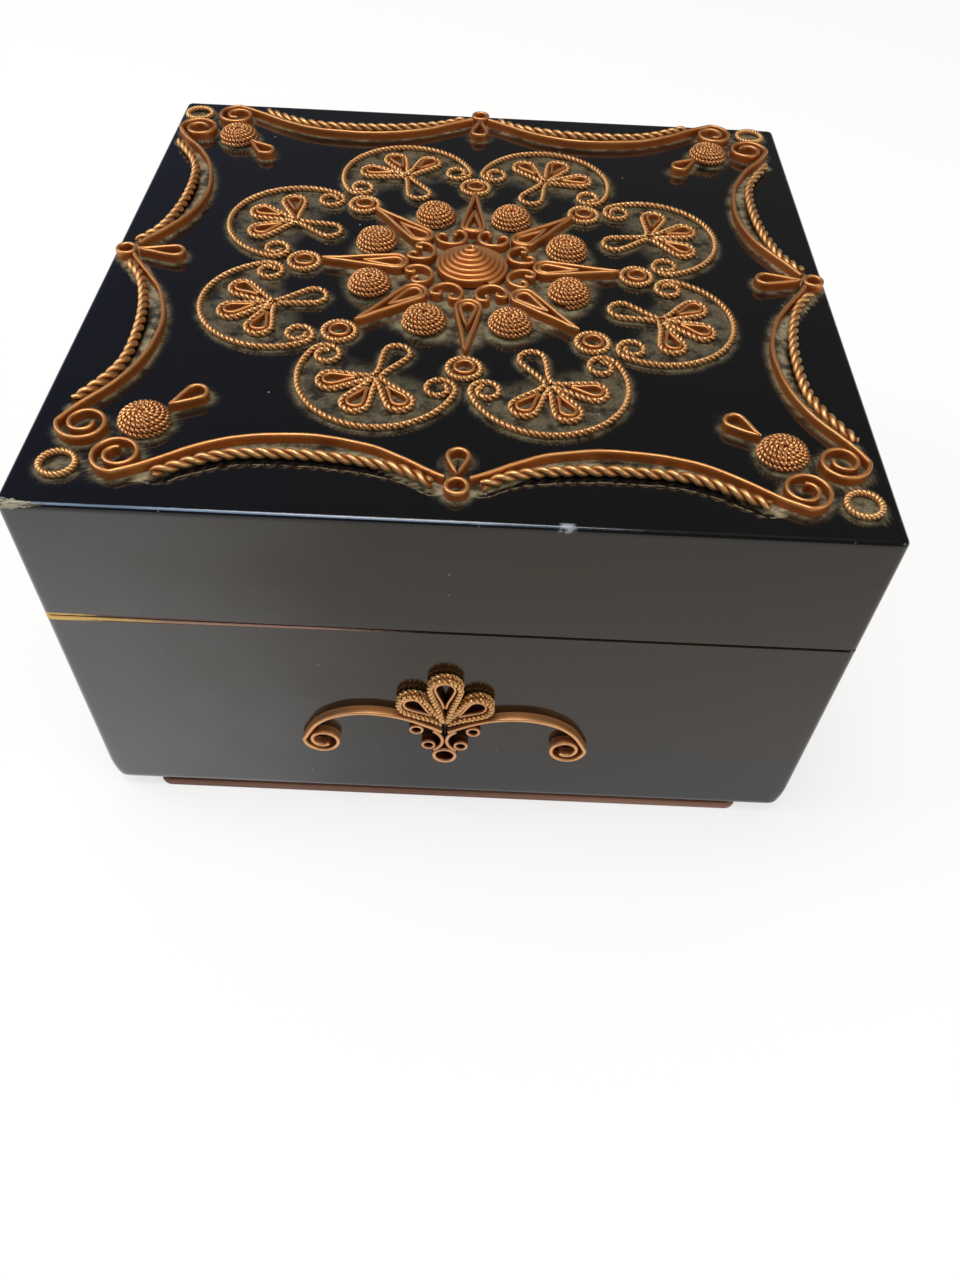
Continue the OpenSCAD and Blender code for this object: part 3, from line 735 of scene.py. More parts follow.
        matt = (chip + bare).least(1.0)
        rough = blotches.ramp(0.3, 0.8, 0.08, 0.14) + streaks.ramp(0.3, 0.8, 0.0, 0.07)
        relief = b.bump(b.noise(spot, 0.12, 2.0), 0.008)
        relief = b.bump(glue * grit, 0.06, relief)
        left = (side + blotches.ramp(0.35, 0.7) * 0.15).ramp(1.0, 0.0)
        b.surface(
            {
                "Base Color": tone,
                "Roughness": rough + glue * 0.45 + matt * 0.4 + worn * 0.15,
                "IOR": 1.48,
                "Specular Tint": self.tint,
                "Coat Weight": upright * (1 - matt) * left * self.coat,
                "Coat Roughness": 0.12,
                "Coat IOR": 1.5,
                "Normal": relief,
            }
        )
        return material


@dataclass(frozen=True)
class Copper:
    """Drawn or twisted copper wire: bright on the crests, brown in the hollows, dusty near the lacquer."""

    name: str
    # bright is the painted highlight colour of the crests and deep the painted shade colour of walls and
    # hollows; the two limits below set where the shade ends and the highlight begins.
    bright: Colour
    deep: Colour
    shade_to: float
    light_from: float
    dust: Colour = (0.16, 0.12, 0.075)
    shine: float = 0.4

    def material(self) -> Material:
        """Builds the material.

        Returns:
            The material.
        """
        material, b = dressed(self.name)
        spot = b.place()
        along, rise, crest = b.number("along"), b.number("rise"), b.number("crest")
        patina = b.noise(spot, 0.2, 4.0)
        drawn = b.noise(b.joined(along * 0.15, rise * 3.0, crest * 5.0), 1.0, 3.0, 0.6)
        fine = b.noise(spot, 3.5, 3.0)
        # Painted light: deep colour down the walls and between the strands, bright colour towards the crests.
        painted_highlight = (crest + (drawn - 0.5) * 0.25).ramp(self.shade_to, self.light_from)
        tone = b.mix(painted_highlight * patina.ramp(0.3, 0.65, 1.0, 0.72), self.deep, self.bright)
        tone = b.mix(drawn.ramp(0.55, 0.8) * 0.35, tone, darker(self.deep, 0.55))
        low = rise.ramp(0.75, 0.0) * fine.ramp(0.3, 0.7, 0.35, 1.0) * patina.ramp(0.35, 0.6, 0.5, 1.0)
        tone = b.mix(low * 0.75, tone, self.dust)
        rough = self.shine + patina * 0.12 + low * 0.3 + (1 - painted_highlight) * 0.12
        b.surface(
            {
                "Base Color": tone,
                "Metallic": 1.0 - low * 0.6,
                "Roughness": rough,
                "Normal": b.bump(drawn, 0.015, b.bump(fine, 0.015)),
            }
        )
        return material


@dataclass(frozen=True)
class Wood:
    """Plain wood with its grain along X, or along the nearest wall round the rim."""

    name: str
    pale: Colour
    dark: Colour
    round_rim: bool = False
    gloss: float = 0.5
    # Width and colour of the painted shade along the rim's outer edge.
    shade_w: float = 0.9
    seam_shade: Colour = (0.012, 0.008, 0.006)

    def material(self) -> Material:
        """Builds the material.

        Returns:
            The material.
        """
        material, b = dressed(self.name)
        x, y, z = b.along(b.place())
        if self.round_rim:
            side = abs(x) > abs(y)
            run, off = x + (y - x) * side, y + (x - y) * side
            mitre = abs(abs(x) - abs(y)).ramp(0.28, 0.08)
        else:
            run, off, mitre = x, y, None
        grain = b.noise(b.joined(run * 0.02, off * 0.55, z * 0.55), 1.0, 6.0, 0.62)
        bands = b.noise(b.joined(run * 0.006, off * 0.16, z * 0.16), 1.0, 2.0)
        pores = b.noise(b.joined(run * 0.25, off * 6.0, z * 6.0), 1.0, 2.0)
        tone = b.mix(grain.ramp(0.35, 0.68) * 0.7 + bands.ramp(0.4, 0.6) * 0.3, self.pale, self.dark)
        tone = b.mix(pores.ramp(0.62, 0.75) * 0.5, tone, darker(self.dark, 0.45))
        if mitre:
            tone = b.mix(mitre * 0.8, tone, darker(self.dark, 0.25))
            # Painted shade: the rim darkens near its outer edge, which shows as a dark line in the seam.
            tone = b.mix(abs(off).ramp(HALF - self.shade_w, HALF - self.shade_w * 0.7), tone, self.seam_shade)
        b.surface(
            {
                "Base Color": tone,
                "Roughness": grain.ramp(0.3, 0.7, self.gloss, self.gloss + 0.15),
                "Normal": b.bump(pores * 0.6 + grain * 0.4, 0.03),
            }
        )
        return material


@dataclass(frozen=True)
class Velvet:
    """Dark red velvet whose pile lies in patches."""

    deep: Colour = (0.075, 0.004, 0.009)
    light: Colour = (0.20, 0.014, 0.026)

    def material(self) -> Material:
        """Builds the material.

        Returns:
            The material.
        """
        material, b = dressed("red_velvet")
        spot = b.place()
        pile = b.noise(spot, 0.05, 3.0, 0.6)
        tufts = b.noise(spot, 3.5, 3.0, 0.7)
        strokes = b.noise(b.place((0.3, 0.06, 0.3)), 1.0, 3.0)
        tone = b.mix(pile.ramp(0.35, 0.65) * 0.6 + strokes.ramp(0.4, 0.65) * 0.4, self.deep, self.light)
        tone = b.mix(tufts.ramp(0.45, 0.7) * 0.35, tone, darker(self.deep, 0.4))
        b.surface(
            {
                "Base Color": tone,
                "Roughness": tufts.ramp(0.2, 0.8, 0.8, 1.0),
                "Sheen Weight": 0.6,
                "Sheen Roughness": 0.4,
                "Sheen Tint": (0.9, 0.35, 0.35, 1.0),
                "Normal": b.bump(tufts, 0.12, b.bump(pile, 0.4)),
            }
        )
        return material


@dataclass(frozen=True)
class Brass:
    """Stamped brass with a brown bloom."""

    bright: Colour = (0.72, 0.52, 0.22)
    bloom: Colour = (0.32, 0.20, 0.08)

    def material(self) -> Material:
        """Builds the material.

        Returns:
            The material.
        """
        material, b = dressed("stamped_brass")
        spot = b.place()
        bloom = b.noise(spot, 0.35, 4.0)
        fine = b.noise(b.place((0.4, 3.0, 3.0)), 1.0, 3.0)
        b.surface(
            {
                "Base Color": b.mix(bloom.ramp(0.4, 0.72), self.bright, self.bloom),
                "Metallic": 1.0,
                "Roughness": 0.24 + bloom * 0.2 + fine * 0.08,
                "Normal": b.bump(fine, 0.01),
            }
        )
        return material


# Wirework


@dataclass(frozen=True)
class Gauges:
    """Sizes of the wires."""

    ribbon_t: float = 0.75
    ribbon_h: float = 2.0
    fine_t: float = 0.55
    fine_h: float = 1.4
    cord: float = 1.3
    thick: float = 2.0
    wire_gap: float = 0.12
    piece_gap: float = 0.4


GAUGE = Gauges()


@dataclass(frozen=True)
class Ground:
    """A face of the box that carries ornament."""

    origin: tuple[float, float, float]
    across: tuple[float, float, float]
    up: tuple[float, float, float]
    out: tuple[float, float, float]

    def place(self, plan: np.ndarray, rise: np.ndarray | float) -> np.ndarray:
        """Points in space of plan points at a height above the face.

        Args:
            plan: The points in the face's plan.
            rise: Their height above the face, or one for all.

        Returns:
            The points in space, in millimetres.
        """
        rise = np.broadcast_to(rise, plan.shape[:-1])
        return (
            np.asarray(self.origin)
            + plan[..., :1] * np.asarray(self.across)
            + plan[..., 1:2] * np.asarray(self.up)
            + rise[..., None] * np.asarray(self.out)
        )


@dataclass
class Hand:
    """The small unevenness of hand work, the same in each run."""

    seed: int
    dice: np.random.Generator = field(init=False)

    def __post_init__(self) -> None:
        """Starts the dice."""
        self.dice = np.random.default_rng(self.seed)

    def drift(self, s: np.ndarray, amount: float, length: float) -> np.ndarray:
        """A slow wave of about that amount along distances s, with bends of about that length.

        Args:
            s: Distances along the wire.
            amount: About how far it strays.
            length: About how long a bend is.

        Returns:
            How far it strays at each distance.
        """
        out = np.zeros_like(s)
        for k in (1.0, 1.7, 2.9):
            out += np.sin(2 * math.pi * k * s / length / 2 + self.dice.uniform(0, 7)) / k
        return out * amount / 2


class Wirework:
    """Wires that are bent in the plane of one face and make one piece."""

    ribbon_step: float = 0.34
    round_share: float = 0.42
    filed_to: float = 0.22
    strand_at: float = 0.215
    strand_share: float = 0.292
    end_share: float = 0.45
    end_thin: float = 0.25
    end_part: float = 0.25
    sway_len: float = 14.0
    height_drift: tuple[float, float] = (0.025, 9.0)
    swell_drift: tuple[float, float] = (0.03, 8.0)
    twist_drift: tuple[float, float] = (0.25, 12.0)
    core_rise: float = 0.3
    sharp: float = 50.0

    def __init__(self, name: str, ground: Ground, seed: int) -> None:
        """Starts an empty piece.

        Args:
            name: The piece's name.
            ground: The face that it lies on.
            seed: Seeds its unevenness.
        """
        self.name, self.ground, self.hand = name, ground, Hand(seed)
        self.verts: list[np.ndarray] = []
        self.faces: list[list[int]] = []
        self.numbers: dict[str, list[np.ndarray]] = {"along": [], "rise": [], "crest": []}
        self.prints: list[np.ndarray] = []
        self.count = 0

    def _sweep(
        self, rings: np.ndarray, s: np.ndarray, rise: np.ndarray, crest: np.ndarray, closed: bool = False
    ) -> None:
        """Adds the skin over rings of points, with flat ends unless it is closed.

        Args:
            rings: Points of each ring, in space.
            s: Distance of each ring along the wire.
            rise: Height of each point above the face.
            crest: How far out on the wire each point lies, from 0 to 1.
            closed: Whether the last ring joins the first.
        """
        n, m = rings.shape[:2]
        index = self.count + np.arange(n * m).reshape(n, m)
        faces = strips(index, closed) + ([] if closed else caps(index))
        middle = rings.mean(1)
        turn = np.cross(rings[:, 0] - middle, rings[:, 1] - middle)
        if (turn * np.gradient(middle, axis=0)).sum() <= 0:
            faces = [face[::-1] for face in faces]
        self.faces += faces
        self.verts.append(rings.reshape(-1, 3))
        for name, values in (("along", np.repeat(s, m)), ("rise", rise), ("crest", crest)):
            self.numbers[name].append(values.reshape(-1))
        self.count += n * m

    def _frame(self, path: np.ndarray, step: float, closed: bool) -> tuple[np.ndarray, ...]:
        """Lays even points along a path and remembers where it runs.

        Args:
            path: The path, with a third number where it is raised.
            step: The wanted distance between points.
            closed: Whether its ends meet.

        Returns:
            Points in the plan, distances, directions to the left, and heights.
        """
        points, s = spaced(np.vstack([path, path[:1]]) if closed else path, step)
        if closed:
            points, s = points[:-1], s[:-1]
        ahead = tangents(points, closed)
        self.prints.append(points[:, :2])
        foot = points[:, 2] if points.shape[1] > 2 else np.zeros(len(points))
        return points[:, :2], s, np.stack([-ahead[:, 1], ahead[:, 0]], 1), foot

    def ribbon(
        self,
        path: np.ndarray,
        thick: float = GAUGE.ribbon_t,
        height: float = GAUGE.ribbon_h,
        closed: bool = False,
        lean: float = 0.05,
        taper: float = 0.0,
    ) -> None:
        """Adds a flat wire standing on edge.

        Args:
            path: Middle line in the plan, with a third number where its foot is above the face.
            thick: Thickness of the wire.
            height: Height of the wire.
            closed: Whether the ends meet.
            lean: How far its top wanders sideways.
            taper: Length over which its ends are filed thin.
        """
        points, s, left, foot = self._frame(path, self.ribbon_step, closed)
        r = thick * self.round_share
        arc = np.radians([0, 30, 60, 90])
        right_top = np.stack([thick / 2 - r + r * np.cos(arc), height - r + r * np.sin(arc)], 1)
        right = np.vstack([[[thick / 2, 0], [thick / 2, height * 0.5]], right_top])
        off, up = np.vstack([[[-thick / 2, 0]], right, right[:0:-1] * [-1, 1]]).T
        sway = self.hand.drift(s, 0 if closed else lean, self.sway_len)[:, None] * (up / height)[None]
        filed = np.clip(np.minimum(s, s[-1] - s) / taper, self.filed_to, 1) if taper else np.ones(len(s))
        plan = points[:, None] + left[:, None] * (filed[:, None] * off[None] + sway)[..., None]
        high = foot[:, None] + up[None] * (1 - abs(self.hand.drift(s, *self.height_drift)))[:, None]
        crest = np.broadcast_to(up / height, high.shape)
        self._sweep(self.ground.place(plan, high), s, high, crest, closed)

    def core(self, middle: np.ndarray, profile: np.ndarray, sides: int = 40) -> None:
        """Adds a dark turned body, such as the one under a coil's turns.

        Args:
            middle: Its middle in the plan.
            profile: Radii and heights from its foot to its axis.
            sides: Sides of each ring.
        """
        angle = np.linspace(0, 360, sides, endpoint=False)
        rings = np.stack([
            self.ground.place(middle + polar(radius, angle), high) for radius, high in profile])
        zero = np.zeros(rings.shape[:2])
        # A crest of 0 gives it the deepest copper colour: painted shade.
        self._sweep(rings, np.zeros(len(rings)), zero + self.core_rise, zero)

    def cord(
        self,
        path: np.ndarray,
        pitch: float,
        thick: float = GAUGE.cord,
        closed: bool = False,
        base: float = 0.0,
        sides: int = 7,
        steps: int = 11,
        fray: float = 0.0,
    ) -> None:
        """Adds two strands twisted round each other.

        Args:
            path: Middle line in the plan, with a third number where it is raised.
            pitch: Length of one full twist.
            thick: Diameter of the twisted pair.
            closed: Whether the ends meet.
            base: Height of its underside above the face.
            sides: Sides of a strand.
            steps: Rings along one twist.
            fray: How far the strands part at the ends, as a share of the thickness.
        """
        points, s, left, foot = self._frame(path, pitch / steps, closed)
        total = s[-1] + (s[1] - s[0]) if closed else s[-1]
        twists = round(total / pitch) if closed else total / pitch
        ends = np.exp(-np.minimum(s, total - s) / (self.end_share * thick)) * (0 if closed else 1)
        swell = 1 if closed else 1 + self.hand.drift(s, *self.swell_drift)
        start = self.hand.dice.uniform(0, 7)
        theta = np.arange(sides) * 2 * math.pi / sides
        round_it = np.stack([np.cos(theta), np.sin(theta)])[..., None, :, None]
        girth = (thick * self.strand_share * (1 - self.end_thin * ends))[:, None, None]
        for phase in (start, start + math.pi):
            phi = 2 * math.pi * twists * s / total + phase
            if not closed:
                phi = phi + self.hand.drift(s, *self.twist_drift)
            out = thick * (self.strand_at + fray * self.end_part * ends) * swell
            radial = np.stack([np.cos(phi), np.sin(phi)], 1)
            plan = points + left * (radial[:, 0] * out)[:, None]
            centre = self.ground.place(plan, base + foot + thick / 2 + radial[:, 1] * out)
            ahead = tangents(centre, closed)
            e1 = self.ground.place(points + left * radial[:, :1], radial[:, 1])
            e1 -= self.ground.place(points, 0.0)
            e1 -= ahead * (e1 * ahead).sum(1)[:, None]
            e1 /= np.linalg.norm(e1, axis=1)[:, None]
            e2 = np.cross(ahead, e1)
            rings = centre[:, None] + girth * (round_it[0] * e1[:, None] + round_it[1] * e2[:, None])
            crest = np.broadcast_to(0.5 + 0.5 * np.cos(theta), rings.shape[:2])
            rise = (rings - np.asarray(self.ground.origin)) @ np.asarray(self.ground.out)
            self._sweep(rings, s, np.maximum(rise, 0), crest, closed)

    def made(self, body: Body, slot: Slot, material: Material, node: str) -> Object:
        """Makes the object, stores its numbers and hands it in.

        Args:
            body: The body that it rides on.
            slot: The record's slot.
            material: Its finish.
            node: The CAD node that it stands for.

        Returns:
            The object.
        """
        thing = make_object(self.name, np.vstack(self.verts), self.faces, [material], self.sharp)
        for name, values in self.numbers.items():
            set_numbers(thing.data, name, np.concatenate(values))
        return hand_in(thing, body, [node])


@dataclass
class Ornament:
    """Wire ornament on one face of the box."""

    ground: Ground

    def work(self, name: str, seed: int) -> Wirework:
        """An empty piece on that face."""
        return Wirework(name, self.ground, seed)


def ring(radius: float, thick: float, turn: float = 0.0) -> np.ndarray:
    """The middle line of a ring of that outer radius."""
    return spiral([0, 0], radius - thick / 2, radius - thick / 2, turn, turn + 360, 97)[:-1]


def inner_drop(
    length: float, radius: float, thick: float, core: float, share: float, pinch: float = 0.5
) -> np.ndarray:
    """The middle line of a drop laid inside another, round end in round end.

    Args:
        length: Outer length of the outer drop.
        radius: Outer radius of the outer drop.
        thick: Thickness of the outer wire.
        core: Thickness of the inner wire.
        share: Share of the room's length that it takes.
        pinch: As for a drop.

    Returns:
        Its points, placed from the outer drop's tip.
    """
    inner_r = radius - thick - GAUGE.wire_gap
    inner_len = inner_r + (length - radius) * inner_r / radius * share
    return drop(inner_len, inner_r, core, pinch) + [length - radius + inner_r - inner_len, 0]


@dataclass
class Coil:
    """A rosette wound from fine twisted wire, domed, with a small crater in its middle."""

    radius: float = 4.65
    wire: float = 1.04
    hole: float = 1.0
    rise: float = 2.45
    lay: float = 0.9
    pitch: float = 1.75
    steepness: float = 0.62
    roundness: float = 1.15
    crater: tuple[tuple[float, float], ...] = ((0.72, 0.88), (0.5, 0.6))
    axis_r: float = 0.02
    per_turn: int = 64
    under: float = 0.42
    under_step: float = 0.35

    def profile(self, inset: float = 0.0) -> np.ndarray:
        """Radii and heights from the foot up over the dome and down into the crater.

        Args:
            inset: How far below the wire's middle line the profile runs.

        Returns:
            The profile's points.
        """
        tau = np.linspace(0, math.pi / 2, 60)
        reach = self.radius - self.wire / 2 - self.hole
        rho = self.hole + reach * np.cos(tau) ** self.steepness
        high = self.rise * np.sin(tau) ** self.roundness
        inside = np.array(self.crater) * [self.hole, self.rise]
        rho, high = np.append(rho, inside[:, 0]) - inset, np.append(high, inside[:, 1]) - inset
        return np.column_stack([np.maximum(rho, self.axis_r), np.maximum(high + self.wire / 2, 0.0)])

    def path(self, start: float, left: bool) -> np.ndarray:
        """The wire's middle line.

        Args:
            start: Angle at which the wire begins, in degrees.
            left: Whether it winds the other way.

        Returns:
            Points with the height of the wire's underside.
        """
        profile, s = spaced(self.profile(), 0.01)
        turns = s[-1] / self.lay
        angle = start + np.linspace(0, 360 * turns, int(turns * self.per_turn)) * (-1 if left else 1)
        f = np.linspace(0, s[-1], len(angle))
        r, z = np.interp(f, s, profile[:, 0]), np.interp(f, s, profile[:, 1])
        return np.column_stack([polar(r, angle), z - self.wire / 2])

    def wind(self, work: "Wirework", at: np.ndarray, start: float, left: bool) -> None:
        """Adds the coil and the dark body under it to a piece.

        Args:
            work: The piece.
            at: Middle of the rosette in the plan.
            start: Angle at which the wire begins, in degrees.
            left: Whether it winds the other way.
        """
        path = self.path(start, left)
        path[:, :2] += at
        work.cord(path, self.pitch, self.wire, sides=6, steps=9)
        under = spaced(self.profile(self.wire * self.under), self.under_step)[0]
        work.core(at, np.vstack([[under[0, 0], 0.0], under, [self.axis_r, under[-1, 1]]]))


@dataclass
class Medallion(Ornament):
    """The flower of wire in the middle of the lid."""

    petals: int = 8
    radius: float = 57.0
    cone_r: float = 7.9
    cone_rise: float = 4.2
    cone_band_h: float = 1.7
    cone_band_t: float = 0.93
    cone_turns: float = 7.4
    cone_tip_r: float = 0.42
    cone_start: float = -60.0
    rosette_at: float = 22.0
    scroll_r: float = 3.2
    scroll_curl_r: float = 1.25
    scroll_open: float = 105.0
    scroll_turn: float = 200.0
    star_r: float = 2.85
    star_from: float = 12.96
    star_core_share: float = 0.65
    star_core_h: float = 0.9
    star_taper: float = 2.2
    tip_pinch: float = 0.14
    joint_r: float = 3.8
    joint_at: float = 34.81
    petal_open: float = 97.0
    petal_curl_r: float = 3.1
    petal_turn: float = 440.0
    loop_r: float = 3.15
    loop_turn: float = 57.0
    loop_shift: float = 0.6
    loop_clear: float = 2.2
    coil_turn: float = 40.0
    scroll_pitch: float = 2.3
    loop_pitch: float = 2.4
    ring_pitch: float = 1.8

    def __post_init__(self) -> None:
        """Works out what follows from the sizes."""
        self.sector = 360 / self.petals
        half_sine = math.sin(math.radians(self.sector / 2))
        self.petal_at = (self.radius + GAUGE.piece_gap / 2) / (1 + half_sine)
        self.petal_r = self.radius - self.petal_at - GAUGE.cord / 2
        self.loop_len = self.petal_r - GAUGE.cord / 2 - self.loop_clear - self.loop_shift - GAUGE.piece_gap
        self.star_tip = self.joint_at - self.joint_r - GAUGE.piece_gap / 2
        self.star_len = self.star_tip - self.star_from
        self.between = [self.sector * (k + 0.5) for k in range(self.petals)]
        self.on_axis = [self.sector * k for k in range(self.petals)]

    def cone(self) -> Wirework:
        """The stepped cone coiled from ribbon.

        Returns:
            The piece.
        """
        work = self.work("middle_cone", 3)
        f = np.linspace(0, 1, 900)
        outer = self.cone_r - self.cone_band_t / 2
        r = outer + (self.cone_tip_r - outer) * f
        path = np.column_stack([polar(r, f * 360 * self.cone_turns + self.cone_start), self.cone_rise * f])
        work.ribbon(path, self.cone_band_t, self.cone_band_h, lean=0.0)
        return work

    def small_scrolls(self) -> Wirework:
        """The ribbon scrolls round the cone, which open outwards.

        Returns:
            The piece.
        """
        work = self.work("small_scrolls", 5)
        end = self.scroll_curl_r - (GAUGE.ribbon_t + GAUGE.wire_gap) * self.scroll_turn / 360
        path = -scroll(self.scroll_r, self.scroll_open, self.scroll_curl_r, end, self.scroll_turn)
        at = self.cone_r + GAUGE.piece_gap + GAUGE.ribbon_t / 2 + self.scroll_r
        for a in self.between:
            work.ribbon(turned(path + [at, 0], a))
        return work

    def stars(self) -> tuple[Wirework, Wirework]:
        """The long ribbon drops and the shorter ones inside them, tips outwards.

        Returns:
            The two pieces.
        """
        outer, inner = self.work("long_drops", 7), self.work("inner_drops", 8)
        thick = GAUGE.ribbon_t
        path = drop(self.star_len, self.star_r, thick, self.tip_pinch)
        core = inner_drop(self.star_len, self.star_r, thick, thick, self.star_core_share, self.tip_pinch)
        core_h = GAUGE.ribbon_h * self.star_core_h
        for a in self.on_axis:
            outer.ribbon(turned([self.star_tip, 0] - path, a), taper=self.star_taper)
            inner.ribbon(turned([self.star_tip, 0] - core, a), height=core_h, taper=self.star_taper)
        return outer, inner

    def rosettes(self) -> Wirework:
        """The coiled rosettes.

        Returns:
            The piece.
        """
        work = self.work("rosettes", 11)
        for k, a in enumerate(self.between):
            Coil().wind(work, polar(self.rosette_at, a), a + self.coil_turn * k, k % 3 == 0)
        return work

    def joints(self) -> tuple[Wirework, Wirework]:
        """The twisted rings between the petals and the plain rings inside them.

        Returns:
            The two pieces.
        """
        outer, inner = self.work("joint_rings", 13), self.work("joint_cores", 14)
        core_r = self.joint_r - GAUGE.cord - GAUGE.piece_gap
        for a in self.on_axis:
            at = polar(self.joint_at, a)
            outer.cord(ring(self.joint_r, GAUGE.cord, a) + at, self.ring_pitch, closed=True)
            inner.ribbon(ring(core_r, GAUGE.fine_t, a) + at, GAUGE.fine_t, GAUGE.fine_h, closed=True)
        return outer, inner

    def petal_scrolls(self) -> Wirework:
        """The twisted scrolls that frame the petals.

        Returns:
            The piece.
        """
        work = self.work("petal_scrolls", 17)
        end = self.petal_curl_r - (GAUGE.cord + GAUGE.wire_gap) * self.petal_turn / 360
        path = scroll(self.petal_r, self.petal_open, self.petal_curl_r, end, self.petal_turn)
        for a in self.between:
            work.cord(turned(path + [self.petal_at, 0], a), self.scroll_pitch)
        return work

    def petal_loops(self) -> tuple[Wirework, Wirework]:
        """The four twisted loops in each petal and the plain wires in three of them.

        Returns:
            The two pieces.
        """
        outer, inner = self.work("petal_loops", 19), self.work("petal_wires", 20)
        path = drop(self.loop_len, self.loop_r, GAUGE.cord) + [GAUGE.piece_gap, 0]
        core = inner_drop(self.loop_len, self.loop_r, GAUGE.cord, GAUGE.fine_t, 1.0) + [GAUGE.piece_gap, 0]
        at = [self.petal_at + self.loop_shift, 0]
        for a in self.between:
            for turn in (0, self.loop_turn, -self.loop_turn, 180):
                outer.cord(turned(turned(path, turn) + at, a), self.loop_pitch)
                if turn != 180:
                    inner.ribbon(turned(turned(core, turn) + at, a), GAUGE.fine_t, GAUGE.fine_h)
        return outer, inner


@dataclass
class Border(Ornament):
    """Ribbons, thick twisted wires, rings and drops along the edges and in the corners of the lid."""

    wave_low: float = 8.5
    wave_high: float = 17.4
    wave_end: float = 6.0
    wave_start: float = 2.1
    spiral_in: float = 18.5
    spiral_r: float = 4.7
    spiral_turn: float = 540.0
    spiral_end: float = 1.6
    thick_low: float = 7.5
    thick_high: float = 13.1
    thick_start: float = 4.2
    thick_stop: float = 6.5
    thick_pitch: float = 5.0
    fray: float = 0.12
    mid_ring_r: float = 2.2
    mid_drop_len: float = 7.2
    edge_drop_r: float = 2.2
    corner_ring_r: float = 3.65
    corner_ring_at: float = 8.7
    corner_ring_pitch: float = 1.6
    corner_drop_len: float = 8.0
    rosette_r: float = 4.6
    rosette_at: float = 20.6
    tip_pinch: float = 0.14
    taper: float = 1.8
    lean: float = 0.12
    coil_r: float = 4.8
    coil_rise: float = 2.1
    coil_turn: float = 70.0
    ring_shifts: tuple[float, ...] = (0.0, 3.2, 1.5, 3.2)
    drop_share: float = 0.22
    corner_shifts: tuple[tuple[float, float], ...] = ((-0.8, 0.0), (2.3, -1.2), (1.7, 1.8), (-3.8, 0.0))
    wave_shares: tuple[tuple[float, float], ...] = (
        (0, 0), (0.055, 0.18), (0.147, 0.52), (0.24, 0.8), (0.38, 1), (0.52, 1), (0.66, 0.85),
        (0.789, 0.5), (0.917, -0.02))
    thick_shares: tuple[tuple[float, float], ...] = (
        (0, 0), (0.13, 0.6), (0.38, 0.98), (0.66, 1), (0.82, 0.7), (1, -0.1))

    def __post_init__(self) -> None:
        """Works out the ribbon's and the twisted wire's lines along the right half of the front edge."""
        self.spiral_mid = np.array([HALF - self.spiral_in, self.wave_end + self.spiral_r])
        to = self.spiral_mid[0]
        wave = spread([self.wave_start, self.wave_low], [to, self.wave_high], self.wave_shares)
        wave = through(np.vstack([wave, [[to, self.wave_end]]]))
        curl = spiral(self.spiral_mid, self.spiral_r, self.spiral_end, -90, -90 + self.spiral_turn, 200)
        self.wave = np.vstack([wave[:-1], curl])
        low, high = [self.thick_start, self.thick_low], [to - self.thick_stop, self.thick_high]
        self.thick = through(spread(low, high, self.thick_shares))

    def _on_side(self, path: np.ndarray, side: int) -> np.ndarray:
        """Moves a line from the front edge's plan to an edge of the lid."""
        return turned(path - [0, HALF], 90 * side)

    def _laid(self, path: np.ndarray, side: int, left: bool) -> np.ndarray:
        """Bends a line of the right half of the front edge to where the hand laid it, and moves it there.

        Args:
            path: The line.
            side: Its side, counted from the front to the right.
            left: Whether it is the mirrored line of the side's left half.

        Returns:
            The line on its side of the lid.
        """
        shift = turned(np.array([self.corner_shifts[side if left else (side + 1) % 4]]), -90 * side)[0]
        if left:
            shift = shift * [-1, 1]
        reach = self.spiral_mid[0] - self.spiral_r - self.wave_start
        run = np.clip((path[:, 0] - self.wave_start) / reach, 0, 1)[:, None]
        bent = path + run * shift - (1 - run) ** 2 * [0, self.ring_shifts[side]]
        return self._on_side(mirrored(bent) if left else bent, side)

    def ribbons(self, name: str, side: int) -> Wirework:
        """The two ribbons of one side.

        Args:
            name: Name of the piece.
            side: The side, counted from the front to the right.

        Returns:
            The piece.
        """
        work = self.work(name, 21 + side)
        for left in (False, True):
            work.ribbon(self._laid(self.wave, side, left), lean=self.lean)
        return work

    def cords(self) -> Wirework:
        """The thick twisted wires, frayed at their ends.

        Returns:
            The piece.
        """
        work = self.work("border_cords", 31)
        for side in range(4):
            for left in (False, True):
                path = self._laid(self.thick, side, left)
                work.cord(path, self.thick_pitch, GAUGE.thick, sides=12, steps=20, fray=self.fray)
        return work

    def middles(self) -> tuple[Wirework, Wirework]:
        """The ring and the drop at the middle of each side.

        Returns:
            The two pieces.
        """
        rings, drops = self.work("mid_rings", 33), self.work("mid_drops", 34)
        need = self.mid_ring_r + GAUGE.ribbon_t / 2 + GAUGE.piece_gap
        even = self.wave_low - math.sqrt(need**2 - self.wave_start**2)
        for side, shift in enumerate(self.ring_shifts):
            at = even - shift
            circle = ring(self.mid_ring_r, GAUGE.ribbon_t) + [0, at]
            rings.ribbon(self._on_side(circle, side), closed=True)
            length = self.mid_drop_len + (1 - self.drop_share) * shift
            up = turned(drop(length, self.edge_drop_r, GAUGE.ribbon_t, self.tip_pinch), 90)
            up = up + [0, at + self.mid_ring_r + GAUGE.piece_gap]
            drops.ribbon(self._on_side(up, side), taper=self.taper)
        return rings, drops

